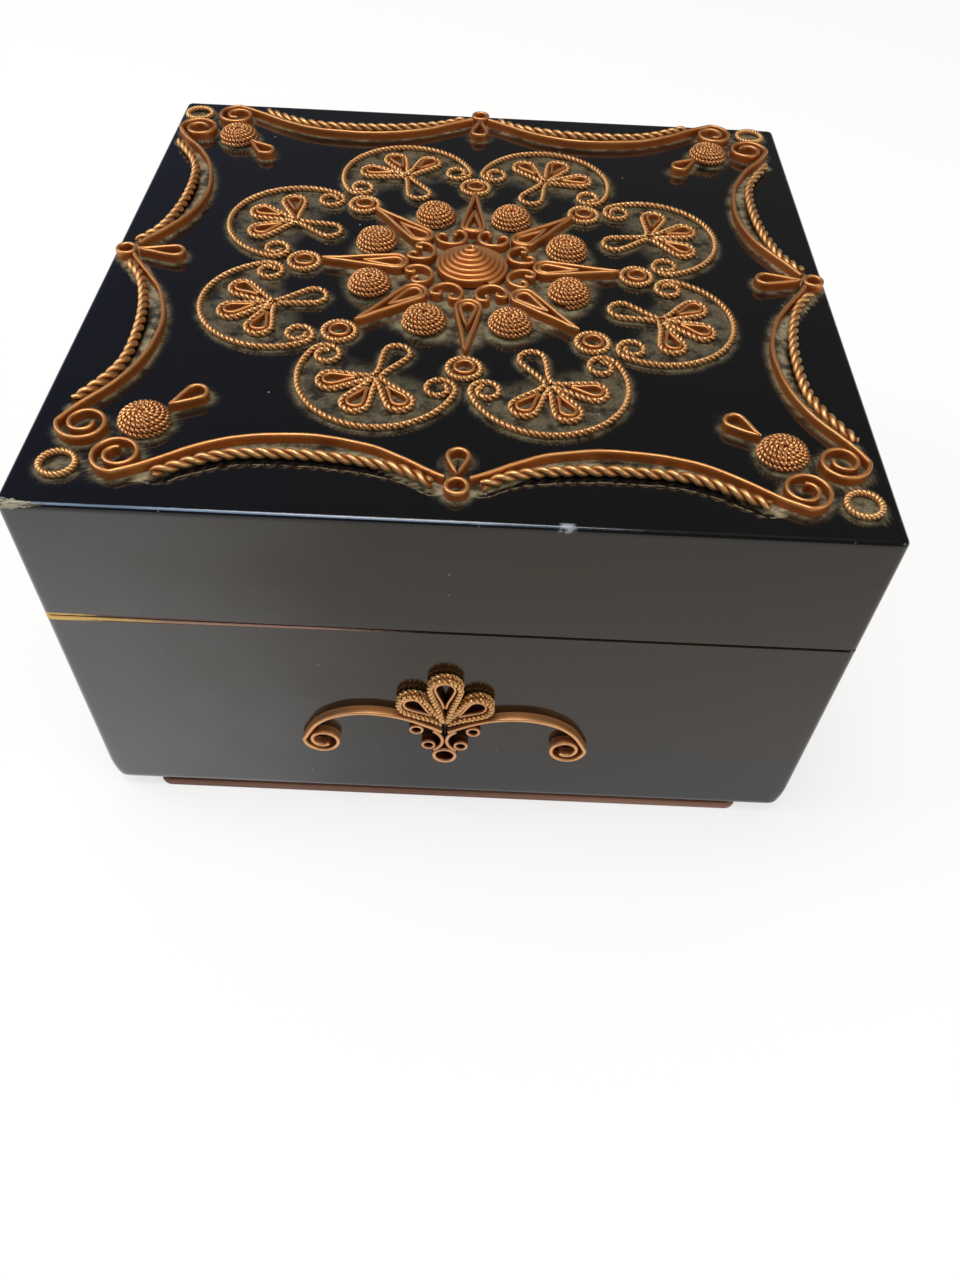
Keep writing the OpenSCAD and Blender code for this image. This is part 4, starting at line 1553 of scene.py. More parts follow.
    def corners(self) -> tuple[Wirework, Wirework, Wirework]:
        """The twisted ring, the rosette and the drop in each corner.

        Returns:
            The three pieces.
        """
        names = ("corner_rings", "corner_rosettes", "corner_drops")
        rings, coils, drops = (self.work(name, 35 + k) for k, name in enumerate(names))
        tail = drop(self.corner_drop_len, self.edge_drop_r, GAUGE.ribbon_t, self.tip_pinch)
        tail = turned(tail + [self.rosette_r + GAUGE.piece_gap, 0], 45)
        circle = ring(self.corner_ring_r, GAUGE.cord)
        for k, shift in enumerate(self.corner_shifts):
            def put(path: np.ndarray, at: float) -> np.ndarray:
                """Moves a plan from its own middle to the corner."""
                return turned(path + at - HALF, 90 * k) + shift

            rings.cord(put(circle, self.corner_ring_at), self.corner_ring_pitch, closed=True, sides=8)
            middle = put(np.zeros((1, 2)), self.rosette_at)[0]
            Coil(self.coil_r, rise=self.coil_rise).wind(coils, middle, self.coil_turn * k, k % 2 == 0)
            drops.ribbon(put(tail, self.rosette_at), taper=self.taper)
        return rings, coils, drops


@dataclass
class FrontOrnament(Ornament):
    """The wire ornament on the front of the base."""

    half_w: float = 29.3
    crest: float = 5.4
    start: float = 0.7
    spiral_r: float = 4.0
    spiral_drop: float = 4.9
    spiral_turn: float = 500.0
    spiral_end: float = 1.5
    drop_len: float = 14.3
    side_len: float = 11.6
    drop_r: float = 3.7
    side_r: float = 3.45
    turn: float = 49.0
    tip: float = 3.4
    curl_r: float = 3.85
    curl_drop: float = 3.2
    curl_span: float = 60.0
    ring_r: float = 1.5
    ring_out: float = 5.8
    ring_up: float = 0.5
    low_ring_r: float = 2.6
    lean: float = 0.1
    wire_share: float = 0.92
    side_wire_share: float = 1.0
    cord_pitch: float = 2.0
    shares: tuple[tuple[float, float], ...] = (
        (0, 0), (0.13, 0.42), (0.3, 0.83), (0.51, 1), (0.72, 0.78), (0.89, 0.15))

    def __post_init__(self) -> None:
        """Works out the line of the right ribbon and the middle of the right curl."""
        wave = spread([self.start, 0], [self.half_w, self.crest], self.shares)
        wave = through(np.vstack([wave, [[self.half_w, -self.spiral_drop]]]))
        middle = [self.half_w - self.spiral_r, -self.spiral_drop]
        curl = spiral(middle, self.spiral_r, self.spiral_end, 0, -self.spiral_turn, 160)
        self.line = np.vstack([wave[:-1], curl])
        self.curl_mid = np.array([self.curl_r + (GAUGE.ribbon_t + GAUGE.wire_gap) / 2, -self.curl_drop])

    def ribbons(self, name: str, left: bool) -> Wirework:
        """One of the two ribbons that end in spirals.

        Args:
            name: Name of the piece.
            left: Whether it is the left one.

        Returns:
            The piece.
        """
        work = self.work(name, 41 + left)
        work.ribbon(mirrored(self.line) if left else self.line, lean=self.lean)
        return work

    def drops(self) -> tuple[Wirework, Wirework]:
        """The three drops of doubled twisted wire and the plain wires inside them.

        Returns:
            The two pieces.
        """
        cords, wires = self.work("front_drop_cords", 43), self.work("front_drop_wires", 44)
        side = (self.side_len, self.side_r, self.side_wire_share)
        places = [
            (self.drop_len, self.drop_r, self.wire_share, 90.0, self.tip + GAUGE.piece_gap, 0.0),
            (*side, 90.0 - self.turn, self.tip, GAUGE.piece_gap),
            (*side, 90.0 + self.turn, self.tip, GAUGE.piece_gap)]
        for length, radius, share, angle, up, out in places:
            path = turned(drop(length, radius, GAUGE.cord) + [out, 0], angle) + [0, up]
            core = inner_drop(length, radius, GAUGE.cord, GAUGE.fine_t, share) + [out, 0]
            for row in range(2):
                cords.cord(path, self.cord_pitch, base=row * GAUGE.cord)
            wires.ribbon(turned(core, angle) + [0, up], GAUGE.fine_t)
        return cords, wires

    def curls(self) -> Wirework:
        """The two arcs back to back under the middle.

        Returns:
            The piece.
        """
        work = self.work("front_curls", 45)
        arc = spiral(self.curl_mid, self.curl_r, self.curl_r, 180 - self.curl_span, 180 + self.curl_span, 60)
        for path in (arc, mirrored(arc)):
            work.ribbon(path)
        return work

    def rings(self) -> Wirework:
        """The four small rings and the larger one at the bottom.

        Returns:
            The piece.
        """
        work = self.work("front_rings", 46)
        reach = self.curl_r - GAUGE.ribbon_t / 2 - GAUGE.wire_gap - self.ring_r
        small = ring(self.ring_r, GAUGE.fine_t)
        for at in ([self.ring_out, self.ring_up], self.curl_mid + polar(reach, self.curl_span - 180)):
            for path in (small + at, mirrored(small + at)):
                work.ribbon(path, GAUGE.fine_t, closed=True)
        need = self.curl_r + GAUGE.ribbon_t / 2 + self.low_ring_r + GAUGE.wire_gap
        low = -self.curl_drop - math.sqrt(need**2 - self.curl_mid[0] ** 2)
        work.ribbon(ring(self.low_ring_r, GAUGE.ribbon_t) + [0, low], closed=True)
        return work


# Wooden box


def rounded_square(half: float, radius: float, z: float, per_side: int, per_corner: int) -> np.ndarray:
    """A level square with rounded corners.

    Args:
        half: Half its width.
        radius: Radius of its corners.
        z: Its height.
        per_side: Points along each side.
        per_corner: Points round each corner.

    Returns:
        Its points, the same number for any size.
    """
    run = half - radius
    side = np.column_stack([np.linspace(-run, run, per_side, endpoint=False), np.full(per_side, -half)])
    bend = polar(radius, np.linspace(-90, 0, per_corner, endpoint=False)) + [run, -run]
    quarter = np.vstack([side, bend])
    plan = np.vstack([turned(quarter, 90 * k) for k in range(4)])
    return np.column_stack([plan, np.full(len(plan), z)])


def turn_outward(thing: Object) -> None:
    """Turns the faces of a closed mesh outwards.

    Args:
        thing: The mesh's object.
    """
    volume = sum(face.center.dot(face.normal) * face.area for face in thing.data.polygons)
    if volume < 0:
        thing.data.flip_normals()


def distances(points: np.ndarray, to: np.ndarray) -> np.ndarray:
    """How far each plan point is from the nearest of the others.

    Args:
        points: The points.
        to: The others.

    Returns:
        A distance for each point.
    """
    tree = KDTree(len(to))
    for k, p in enumerate(to):
        tree.insert((p[0], p[1], 0), k)
    tree.balance()
    return np.array([tree.find((p[0], p[1], 0))[2] for p in points])


@dataclass
class Haze:
    """Dried glue and dust on the lid: thick near the wires and inside the border, thin inside the petals."""

    flower: Medallion
    prints: dict[str, np.ndarray]
    reach: float = 0.85
    strength: float = 0.74
    middle_r: float = 28.0
    middle_reach: float = 2.3
    petal_strength: float = 0.27
    border_sum: float = 5.4
    border_near: float = 3.0
    border_strength: float = 0.95
    ring_strength: float = 0.45
    middle_fade: float = 3.0
    petal_fade: float = 1.5
    petal_from: float = -4.0
    petal_rise: float = 5.0

    def cord_gap(self, plan: np.ndarray) -> np.ndarray:
        """How far points of the lid's top are from the border's thick wires."""
        return distances(plan, self.prints["border_cords"])

    def at(self, plan: np.ndarray) -> np.ndarray:
        """How thick it lies.

        Args:
            plan: Points of the lid's top, from the middle of the ornament.

        Returns:
            A share from 0 to 1 for each point.
        """
        others = [prints for name, prints in self.prints.items() if name != "border_cords"]
        gap = distances(plan, np.vstack(others))
        thick = self.strength * np.exp(-((gap / self.reach) ** 2))
        from_middle = np.linalg.norm(plan, axis=1)
        inner = np.clip((self.middle_r - from_middle) / self.middle_fade, 0, 1)
        thick = np.maximum(thick, inner * self.strength * np.exp(-((gap / self.middle_reach) ** 2)))
        for angle in self.flower.between:
            from_petal = turned(plan, -angle) - [self.flower.petal_at, 0]
            radius = np.linalg.norm(from_petal, axis=1)
            inside = np.clip((self.flower.petal_r - radius) / self.petal_fade + 0.5, 0, 1)
            outward = np.clip((from_petal[:, 0] - self.petal_from) / self.petal_rise, 0, 1)
            thick = np.maximum(thick, inside * outward * self.petal_strength)
        for circle in np.split(self.prints["corner_rings"], 4):
            middle = circle.mean(0)
            room = np.linalg.norm(circle[0] - middle) - np.linalg.norm(plan - middle, axis=1)
            thick = np.maximum(thick, self.ring_strength * np.clip(room, 0, 1))
        ribbon = distances(plan, np.vstack([self.prints[f"border_{side}"] for side in SIDES]))
        cord = self.cord_gap(plan)
        between = np.clip(self.border_sum - ribbon - cord, 0, 1)
        for near in (ribbon, cord):
            between = between * np.clip((self.border_near - near) * 2, 0, 1)
        return np.maximum(thick, self.border_strength * between)


def shell(
    name: str,
    rings: list[np.ndarray],
    materials: Sequence[Material],
    bare: int = 0,
    hollow: bool = False,
    sharp: float = SHARP,
) -> Object:
    """Skins rings into a closed shell, its faces outwards.

    Args:
        name: Name of the shell.
        rings: Its rings, in order.
        materials: Its materials, such as lacquer and wood.
        bare: How many of the first strips take the second material.
        hollow: Whether the last ring joins the first; otherwise both are closed by flat ends.
        sharp: Angle in degrees above which an edge stays sharp.

    Returns:
        The shell.
    """
    n, m = len(rings), len(rings[0])
    index = np.arange(n * m).reshape(n, m)
    verts, faces = np.vstack(rings), strips(index, hollow)
    if not hollow:
        verts = np.vstack([verts, rings[0].mean(0), rings[-1].mean(0)])
        for row, hub in ((index[0][::-1], n * m), (index[-1], n * m + 1)):
            faces += [[int(a), int(c), hub] for a, c in zip(row, np.roll(row, -1))]
    thing = make_object(name, verts, faces, materials, sharp)
    second = np.zeros(len(thing.data.polygons), int)
    second[: bare * m] = 1
    thing.data.polygons.foreach_set("material_index", second)
    turn_outward(thing)
    return thing


@dataclass
class Boards:
    """The lacquered boards of base and lid, joined under the lacquer, and the foot board."""

    wall_r: float = 1.5
    bottom_r: float = 2.0
    foot_of_wall_r: float = 2.7
    foot_of_wall_h: float = 6.0
    top_r: float = 1.0
    rim_r: float = 0.2
    inner_r: float = 0.3
    lid_open: float = 100.0
    hinge_gap: float = 0.3
    overrun: float = 1.0
    barrel_room: float = 2.0
    barrel_sides: int = 48
    leaf_w: float = 6.0
    leaf_t: float = 0.9
    foot_corner_r: float = 3.4
    foot_bead: float = 0.4
    grid: float = 0.75
    per_side: int = 92
    per_corner: int = 6
    far: float = 50.0
    bare: int = 2

    def _ring(self, half: float, radius: float, z: float) -> np.ndarray:
        """One ring of a shell."""
        return rounded_square(half, radius, z, self.per_side, self.per_corner)

    def _over(self) -> list[np.ndarray]:
        """Rings round the top edge, from the wall to the flat top.

        Returns:
            The rings.
        """
        out = []
        for a in np.radians(np.linspace(0, 90, 7)):
            inset, rise = self.top_r * (1 - math.cos(a)), self.top_r * (1 - math.sin(a))
            out.append(self._ring(HALF - inset, max(self.wall_r - 0.8 * inset, 0.3), TOP_Z - rise))
        return out

    def _under(self) -> list[np.ndarray]:
        """Rings down the foot of the wall, where the corners grow rounder, and round the bottom edge.

        Returns:
            The rings.
        """
        out = []
        top = BASE_Z + self.bottom_r + self.foot_of_wall_h
        for f in np.linspace(0, 1, 9):
            radius = self.wall_r + (self.foot_of_wall_r - self.wall_r) * f**2
            out.append(self._ring(HALF, radius, top - self.foot_of_wall_h * f))
        for a in np.radians(np.linspace(15, 90, 6)):
            inset, rise = self.bottom_r * (1 - math.cos(a)), self.bottom_r * (1 - math.sin(a))
            out.append(self._ring(HALF - inset, self.foot_of_wall_r, BASE_Z + rise))
        return out

    def _knife(
        self, name: str, profile: np.ndarray, ends: Sequence[float], materials: Sequence[Material]
    ) -> Object:
        """A bar along X.

        Args:
            name: Its name.
            profile: Y and Z of its corners, counter-clockwise seen from the right.
            ends: X of its left and right end.
            materials: Its materials.

        Returns:
            The bar.
        """
        verts = np.vstack([np.column_stack([np.full(len(profile), x), profile]) for x in ends])
        index = np.arange(len(verts)).reshape(2, -1)
        return make_object(name, verts, strips(index) + caps(index), materials)

    def _knives(self, up: bool, materials: Sequence[Material]) -> list[Object]:
        """Makes the shapes that the back bevel and the hinge seats are cut with.

        Args:
            up: Whether they are for the lid.
            materials: Lacquer and wood.

        Returns:
            The shapes, the bevel's first.
        """
        reach = HALF - HINGE_AT.y + self.overrun
        slope = math.radians(self.lid_open / 2)
        rise, opening = reach * math.tan(slope), self.hinge_gap / 2 / math.cos(slope)
        span = HALF + self.overrun
        back = HINGE_AT.y + reach
        wedge = np.array([
            [HINGE_AT.y - opening / math.tan(slope), HINGE_AT.z],
            [back, HINGE_AT.z - rise - opening],
            [back, HINGE_AT.z + rise + opening]])
        knives = [self._knife("wedge", wedge, (-span, span), materials)]
        angle = np.linspace(0, 360, self.barrel_sides, endpoint=False)
        room = polar(self.barrel_room, angle) + [HINGE_AT.y, HINGE_AT.z]
        leaf_z = HINGE_AT.z + (1 if up else -1) * (abs(LID_Z - RIM_Z) / 2 + self.leaf_t)
        z0, z1 = sorted((HINGE_AT.z, leaf_z))
        y0, y1 = HINGE_AT.y - self.leaf_w, HINGE_AT.y
        seat = np.array([[y0, z0], [y1, z0], [y1, z1], [y0, z1]])
        for side in ("left", "right"):
            low, high = (corner(f"hinge_pin_{side}", far).x for far in (False, True))
            knives.append(self._knife("room", room, (low - self.hinge_gap, high + self.hinge_gap), materials))
            knives.append(self._knife("seat", seat, (low, high), materials))
        return knives

    def _cut(self, thing: Object, up: bool) -> None:
        """Cuts the back bevel, which is lacquered, and the bare hinge seats out of a shell.

        Args:
            thing: The shell.
            up: Whether it is the lid.
        """
        knives = self._knives(up, thing.data.materials)
        for k, knife in enumerate(knives):
            knife.data.polygons.foreach_set("material_index", [min(k, 1)] * len(knife.data.polygons))
            cut = thing.modifiers.new("cut", "BOOLEAN")
            cut.operation, cut.solver, cut.object = "DIFFERENCE", "EXACT", knife
        settle(thing)
        for knife in knives:
            bpy.data.objects.remove(knife)
        thing.data.set_sharp_from_angle(angle=math.radians(SHARP))

    def _mark(self, thing: Object, haze: Haze | None) -> None:
        """Stores how near each point is to the worn top edge, and the haze on it.

        Args:
            thing: The shell.
            haze: The haze, if there is any on it.
        """
        points = points_of(thing)
        reach = self.top_r * 0.97
        on_edge = (np.abs(points[:, 2] - TOP_Z + reach / 2) < reach / 2) & (
            np.abs(points[:, :2]).max(1) > HALF - reach)
        glue, gap = np.zeros(len(points)), np.full(len(points), self.far)
        if haze:
            on_top = points[:, 2] > TOP_Z - 0.05
            plan = points[on_top][:, :2] - np.array(LID_MIDDLE)[:2]
            glue[on_top] = haze.at(plan)
            gap[on_top] = haze.cord_gap(plan)
        set_numbers(thing.data, "edge", np.where(on_edge, 1.0, 0.0))
        set_numbers(thing.data, "haze", glue)
        set_numbers(thing.data, "cord_gap", gap)

    def _walls(self, far_z: float, rim_z: float) -> list[np.ndarray]:
        """Rings from the far end of the inside to the rim and over its edge to the outside.

        Args:
            far_z: Height of the far end of the inside.
            rim_z: Height of the rim.

        Returns:
            Four rings.
        """
        back = math.copysign(self.rim_r, far_z - rim_z)
        return [
            self._ring(WALL_IN, self.inner_r, far_z),
            self._ring(WALL_IN, self.inner_r, rim_z),
            self._ring(HALF - self.rim_r, self.wall_r, rim_z),
            self._ring(HALF, self.wall_r, rim_z + back)]

    def base(self, lacquer: Material, wood: Material) -> Object:
        """The walls of the base as one lacquered shell.

        Args:
            lacquer: The outer finish.
            wood: The bare wood.

        Returns:
            The shell.
        """
        rings = self._walls(BASE_Z, RIM_Z) + self._under()
        thing = shell("base_box", rings, [lacquer, wood], self.bare, hollow=True)
        self._cut(thing, False)
        self._mark(thing, None)
        walls = ["base_front", "base_back", "base_left", "base_right"]
        return hand_in(thing, Body.BASE, walls)

    def lid(self, lacquer: Material, wood: Material, haze: Haze) -> Object:
        """The walls and the top of the lid as one lacquered shell.

        Args:
            lacquer: The outer finish.
            wood: The bare wood.
            haze: The haze on its top.

        Returns:
            The shell.
        """
        first = HALF - self.top_r - self.grid
        rings = self._walls(CEILING_Z, LID_Z) + self._over()
        rings += [self._ring(half, self.inner_r, TOP_Z) for half in np.arange(first, self.grid, -self.grid)]
        thing = shell("lid_box", rings, [lacquer, wood], self.bare)
        self._cut(thing, True)
        self._mark(thing, haze)
        walls = ["lid_front", "lid_back", "lid_left", "lid_right", "lid_top"]
        return hand_in(thing, Body.LID, walls)

    def foot(self, wood: Material) -> Object:
        """The foot board with its rounded corners.

        Args:
            wood: The board's finish.

        Returns:
            The finished piece.
        """
        high = corner("foot_board", True)
        stretch = np.array([high.x / high.y, 1, 1])
        bead = self.foot_bead
        rings = []
        for inset, z in ((bead, 0), (0, bead), (0, high.z - bead), (bead, high.z)):
            rings.append(rounded_square(high.y - inset, self.foot_corner_r, z, 12, 12) * stretch)
        thing = shell("foot_plate", rings, [wood])
        return hand_in(thing, Body.BASE, ["foot_board"])


# Soft pieces


@dataclass
class Linings:
    """Velvet panels on the walls and velvet pads on the floor and under the top."""

    panel_t: float = 1.0
    panel_steps: int = 61
    off_wall: float = 0.02
    wave: float = 0.14
    wave_len: float = 46.0
    edge_r: float = 0.45
    pad_in: float = 0.5
    pad_corner_r: float = 1.5
    pad_edge: float = 0.45
    pad_flank: float = 0.2
    pad_voxel: float = 0.5
    pad_cap: float = 0.9
    side_share: float = 0.4
    sharp: float = 60.0
    voxel: float = 2.0
    frames: int = 20
    pressure: float = 4.0
    quality: int = 4
    tiny: float = 1e-9

    def panel(self, node: str, material: Material, seed: int) -> Object:
        """A velvet panel in the place of a lining node, thin, with rounded edges and a soft face.

        Args:
            node: The lining node.
            material: The velvet.
            seed: Seed of its unevenness.

        Returns:
            The panel.
        """
        low, high = corner(node, False), corner(node, True)
        quarter = {"front": 0, "right": 90, "back": 180, "left": 270}[node.rsplit("_", 1)[1]]
        outer = max(abs(low.x), abs(high.x), abs(low.y), abs(high.y))
        z0, z1, r, t = low.z, high.z, self.edge_r, self.panel_t
        bend = np.radians(np.linspace(0, 90, 5))
        section = [[self.off_wall, z] for z in (z0, *np.linspace(z0 + 4, z1 - r, 6))]
        section += [[r * (1 - math.cos(a)) + self.off_wall, z1 - r + r * math.sin(a)] for a in bend[1:]]
        section += [[t - r * (1 - math.sin(a)), z1 - r + r * math.cos(a)] for a in bend]
        section += [[t, z] for z in np.linspace(z1 - r - 1.5, z0, 14)]
        depth, z = np.array(section).T
        f = np.linspace(-1, 1, self.panel_steps)
        wave = Hand(seed).drift(f * outer, self.wave, self.wave_len)[:, None] * (depth / t)[None] ** 2
        wave = wave * np.sin((z - z0) / (z1 - z0) * math.pi)[None]
        out = outer - np.minimum(depth[None] + wave, t)
        plan = turned(np.stack([f[:, None] * out, -out], -1).reshape(-1, 2), quarter)
        verts = np.column_stack([plan, np.tile(z, len(f))])
        index = np.arange(len(verts)).reshape(len(f), -1)
        thing = make_object(node + "_velvet", verts, strips(index) + caps(index), [material], self.sharp)
        turn_outward(thing)
        body = Body.BASE if node.startswith("base") else Body.LID
        return hand_in(thing, body, [node])

    def pad(self, node: str, body: Body, material: Material) -> Object:
        """A padded square in the place of a pad node, swollen by a cloth simulation.

        Args:
            node: The pad node.
            body: Its body.
            material: The velvet.

        Returns:
            The pad.
        """
        low, high = corner(node, False), corner(node, True)
        half, z0, z1 = high.x, low.z, high.z
        thick = z1 - z0
        inset, flank = min(self.pad_in, thick * self.pad_edge), thick * self.pad_flank
        levels = ((inset, z0), (0, z0 + flank), (0, z1 - inset - flank), (inset, z1 - inset))
        rings = [rounded_square(half - inset - s, self.pad_corner_r, z, 40, 6) for s, z in levels]
        thing = shell(node + "_velvet", rings, [material])
        remesh = thing.modifiers.new("even", "REMESH")
        remesh.mode, remesh.voxel_size = "VOXEL", min(self.voxel, thick * self.pad_voxel) * MM
        settle(thing)
        self._swell(thing)
        if thick > self.voxel:
            smooth = thing.modifiers.new("finer", "SUBSURF")
            smooth.levels = smooth.render_levels = 1
            settle(thing)
        points = points_of(thing)
        between = np.abs(points[:, 1]) < half * self.side_share
        points[:, :2] *= half / points[between, 0].max()
        points[:, :2] = np.clip(points[:, :2], -half, half)
        points[:, 2] = np.clip(points[:, 2], z0, z1)
        move_points(thing, points)
        thing.data.shade_smooth()
        return hand_in(thing, body, [node])

    def _swell(self, thing: Object) -> None:
        """Lets pressure swell a pad, up to the cap.

        Args:
            thing: The pad.
        """
        scene = bpy.context.scene
        before = points_of(thing)
        cloth = thing.modifiers.new("cloth", "CLOTH")
        cloth.settings.use_pressure = True
        cloth.settings.uniform_pressure_force = self.pressure
        cloth.settings.effector_weights.gravity = 0.0
        cloth.settings.quality = self.quality
        cloth.point_cache.frame_start, cloth.point_cache.frame_end = 1, self.frames
        for number in range(1, self.frames + 1):
            scene.frame_set(number)
        settle(thing)
        move = points_of(thing) - before
        size = np.linalg.norm(move, axis=1)[:, None] + self.tiny
        move_points(thing, before + move / size * np.minimum(size, self.pad_cap))
        scene.frame_set(1)


# Studio


@dataclass(frozen=True)
class Studio:
    """A pale floor, soft lamps, a world that is pale at the horizon and dark above, and the camera."""

    eye: tuple[float, float, float] = (3.69, -194.65, 201.53)
    azimuth: float = 0.7312
    elevation: float = 50.4455
    roll: float = 3.1432
    focal_px: float = 1016.3
    image_h: int = 1280
    sensor: float = 36.0
    floor_half: float = 4000.0
    glow: float = 0.7
    aim: tuple[float, float, float] = (0.0, 0.0, 0.05)
    white: Colour = (1.0, 1.0, 1.0)
    paint: Colour = (0.8, 0.8, 0.79)
    horizon: Colour = (0.85, 0.85, 0.86)
    horizon_left: Colour = (0.70, 0.84, 1.0)
    above: Colour = (0.10, 0.10, 0.10)
    above_left: Colour = (0.10, 0.12, 0.24)
    zenith: Colour = (0.30, 0.30, 0.30)
    light_low: Colour = (0.42, 0.41, 0.40)
    light_high: Colour = (0.62, 0.61, 0.60)

    def camera(self) -> None:
        """Puts the camera where the photograph was taken from."""
        data = bpy.data.cameras.new("camera")
        data.sensor_width = self.sensor
        data.lens = self.sensor * self.focal_px / self.image_h
        data.clip_start, data.clip_end = 0.01, 30
        cam = link("camera", data)
        az, el, roll = (math.radians(v) for v in (self.azimuth, self.elevation, self.roll))
        ahead = Vector((math.sin(az) * math.cos(el), math.cos(az) * math.cos(el), -math.sin(el)))
        level = Vector((math.cos(az), -math.sin(az), 0))
        right = math.cos(roll) * level + math.sin(roll) * level.cross(ahead)
        up = right.cross(ahead)
        turn = Matrix((right, up, -ahead)).transposed().to_4x4()
        cam.matrix_world = Matrix.Translation(Vector(self.eye) * MM) @ turn
        bpy.context.scene.camera = cam

    def lamp(self, name: str, at: Sequence[float], size: float, power: float, tint: Colour) -> None:
        """A square area lamp that looks at the box.

        Args:
            name: Name of the lamp.
            at: Its place in metres.
            size: Its width in metres.
            power: Its power in watts.
            tint: Its colour.
        """
        data = bpy.data.lights.new(name, "AREA")
        data.size, data.energy, data.color = size, power, tint
        thing = link(name, data)
        thing.location = at
        thing.rotation_mode = "QUATERNION"
        thing.rotation_quaternion = (Vector(at) - Vector(self.aim)).to_track_quat("Z", "Y")

    def _rays(self, b: Bench, *kinds: str) -> Wire:
        """1 for a ray of one of these kinds."""
        path = b.node("ShaderNodeLightPath").socket.node
        return sum(Wire(b, path.outputs[f"Is {kind} Ray"]) for kind in kinds).least(1.0)

    def _seen(self, b: Bench) -> Wire:
        """1 for a ray from the camera or from metal or glass, and 0 for light on a surface."""
        return self._rays(b, "Camera", "Glossy", "Transmission")

    def floor(self) -> None:
        """A white floor that keeps the box's shadow."""
        material, b = dressed("white_floor")
        h = self.floor_half
        verts = np.array([[-h, -h, 0], [h, -h, 0], [h, h, 0], [-h, h, 0]], float)
        paint = b.node("ShaderNodeBsdfDiffuse", None, {"Color": self.paint})
        glow = b.node("ShaderNodeEmission", None, {"Color": self.white, "Strength": 1.0})
        both = b.node("ShaderNodeMixShader", None, {0: self._seen(b) * self.glow, 1: paint, 2: glow})
        b.node("ShaderNodeOutputMaterial", None, {"Surface": both})
        make_object("floor", verts, [[0, 1, 2, 3]], [material])

    def world(self) -> None:
        """The surroundings: what is seen is pale at the horizon and dark above, and what lights is even."""
        world = bpy.data.worlds.new("surroundings")
        bpy.context.scene.world = world
        b = Bench(world)
        x, _, z = b.along(b.node("ShaderNodeTexCoord", output="Generated"))
        dark = b.mix(x.ramp(0.1, -0.7), self.above, self.above_left)
        dark = b.mix(z.ramp(0.84, 0.97), dark, self.zenith)
        pale = b.mix(x.ramp(0.3, -0.3), self.horizon, self.horizon_left)
        shown = b.mix(z.ramp(0.03, 0.14), pale, dark)
        even = b.mix(z.ramp(-0.1, 0.8), self.light_low, self.light_high)
        sky = b.mix(self._rays(b, "Camera"), b.mix(self._seen(b), even, shown), self.white)
        light = b.node("ShaderNodeBackground", None, {0: sky, 1: 1.0})
        b.node("ShaderNodeOutputWorld", None, {0: light})

    def build(self) -> None:
        """Sets up everything."""
        bpy.context.scene.view_settings.view_transform = "Standard"
        self.camera()
        self.floor()
        self.world()
        self.lamp("overhead", (-0.10, -0.06, 1.10), 0.45, 6.5, (1.0, 0.97, 0.94))
        self.lamp("window", (-0.80, 0.05, 0.70), 0.5, 3.6, (0.95, 0.97, 1.0))
        self.lamp("room", (0.75, -0.45, 0.55), 0.5, 2.0, (1.0, 0.94, 0.87))


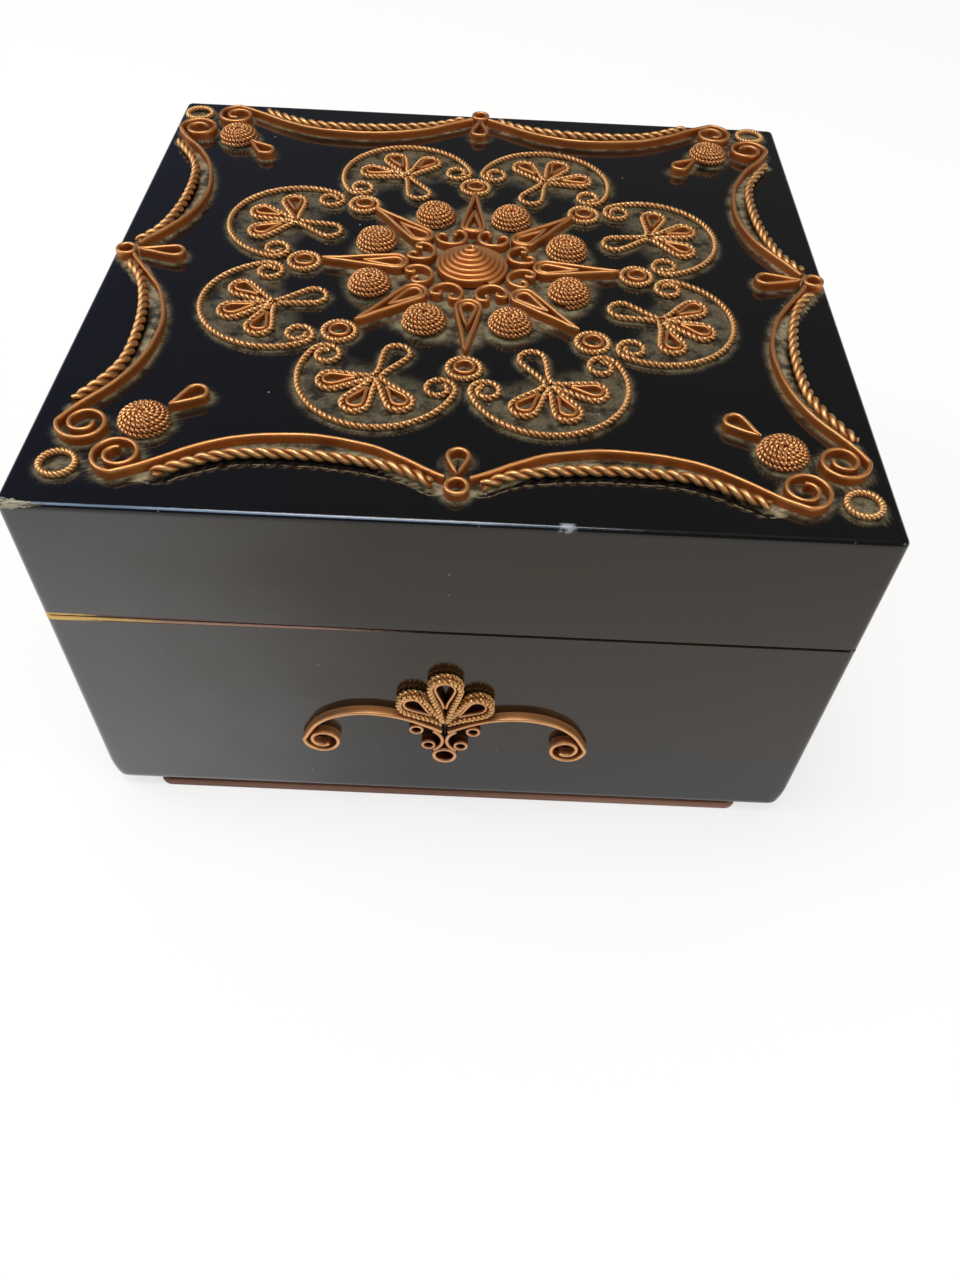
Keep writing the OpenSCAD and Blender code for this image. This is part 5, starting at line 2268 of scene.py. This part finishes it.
def main() -> None:
    """Builds the looks piece by piece."""
    logging.basicConfig(level=logging.INFO, format="%(message)s")
    Studio().build()

    lacquer = Lacquer().material()
    pale = Wood("pale_wood", (0.62, 0.40, 0.16), (0.40, 0.22, 0.08), round_rim=True).material()
    stained = Wood("stained_wood", (0.24, 0.115, 0.072), (0.14, 0.06, 0.038)).material()
    velvet = Velvet().material()
    brass = Brass().material()
    bright, deep = (0.80, 0.41, 0.155), (0.55, 0.175, 0.038)
    ribbon = Copper("copper_ribbon", bright, deep, 0.55, 1.0).material()
    # Shaded and lit copies of the copper: the first paints the front rings, curls and inner wires in shade,
    # the second paints the front ribbons lit.
    hollow = Copper("copper_shaded", (0.78, 0.42, 0.21), (0.15, 0.042, 0.012), 0.6, 1.0).material()
    lit = Copper("copper_lit", (0.78, 0.42, 0.19), (0.56, 0.24, 0.085), 0.1, 1.0).material()
    twist = Copper("copper_twist", (0.88, 0.51, 0.215), (0.33, 0.115, 0.026), 0.3, 0.95).material()
    coil = Copper("copper_coil", (0.84, 0.42, 0.165), (0.19, 0.060, 0.016), 0.35, 0.95).material()

    top = Ground((LID_MIDDLE.x, LID_MIDDLE.y, TOP_Z), (1, 0, 0), (0, 1, 0), (0, 0, 1))
    middle = (corner("front_curls", False) + corner("front_curls", True)) / 2
    front = Ground((middle.x, -HALF, middle.z + FrontOrnament.curl_drop), (1, 0, 0), (0, 0, 1), (0, -1, 0))

    flower = Medallion(top)
    stars, inner = flower.stars()
    joints, cores = flower.joints()
    loops, wires = flower.petal_loops()
    edge = Border(top)
    mid_rings, mid_drops = edge.middles()
    corner_rings, corner_coils, corner_drops = edge.corners()
    lid_work = [
        (flower.cone(), Slot.RIBBON, "centre_cone"),
        (flower.small_scrolls(), Slot.RIBBON, "centre_scrolls"),
        (stars, Slot.RIBBON, "star_drops"),
        (inner, Slot.RIBBON, "star_inner_drops"),
        (flower.rosettes(), Slot.COIL, "rosettes"),
        (joints, Slot.TWIST, "joint_rings"),
        (cores, Slot.RIBBON, "joint_cores"),
        (flower.petal_scrolls(), Slot.TWIST, "petal_scrolls"),
        (loops, Slot.TWIST, "petal_loops"),
        (wires, Slot.RIBBON, "petal_wires"),
        (edge.cords(), Slot.TWIST, "border_cords"),
        (mid_rings, Slot.RIBBON, "mid_rings"),
        (mid_drops, Slot.RIBBON, "mid_drops"),
        (corner_rings, Slot.TWIST, "corner_rings"),
        (corner_coils, Slot.COIL, "corner_rosettes"),
        (corner_drops, Slot.RIBBON, "corner_drops"),
    ]
    for k, side in enumerate(SIDES):
        lid_work.append((edge.ribbons(f"border_{side}", k), Slot.RIBBON, f"border_ribbon_{side}"))
    prints = {work.name: np.vstack(work.prints) for work, *_ in lid_work}
    finishes = {Slot.RIBBON: ribbon, Slot.TWIST: twist, Slot.COIL: coil}
    for work, slot, node in lid_work:
        work.made(Body.LID, slot, finishes[slot], node)

    low = FrontOrnament(front)
    cords, low_wires = low.drops()
    # The front ribbons take the lit copper; the front rings, curls and inner wires take the shaded one.
    for work, slot, material, node in (
        (low.ribbons("front_ribbon_left", True), Slot.RIBBON, lit, "front_scroll_left"),
        (low.ribbons("front_ribbon_right", False), Slot.RIBBON, lit, "front_scroll_right"),
        (cords, Slot.TWIST, twist, "front_drop_cords"),
        (low_wires, Slot.RIBBON, hollow, "front_drop_wires"),
        (low.curls(), Slot.RIBBON, hollow, "front_curls"),
        (low.rings(), Slot.RIBBON, hollow, "front_rings"),
    ):
        work.made(Body.BASE, slot, material, node)

    boards = Boards()
    boards.lid(lacquer, pale, Haze(flower, prints))
    boards.base(lacquer, pale)
    boards.foot(stained)

    linings = Linings()
    for k, node in enumerate(sorted(n for n in frame["nodes"] if "_lining_" in n)):
        linings.panel(node, velvet, 60 + k)
    linings.pad("base_pad", Body.BASE, velvet)
    linings.pad("lid_pad", Body.LID, velvet)

    kept = {"hinge": brass, "lip": pale, "base_floor": pale}
    for name, node in frame["nodes"].items():
        for start, material in kept.items():
            if name.startswith(start):
                for place in node.material_slots:
                    place.material = material
                log.info("%s keeps its shape", name)


if __name__ == "__main__":
    main()
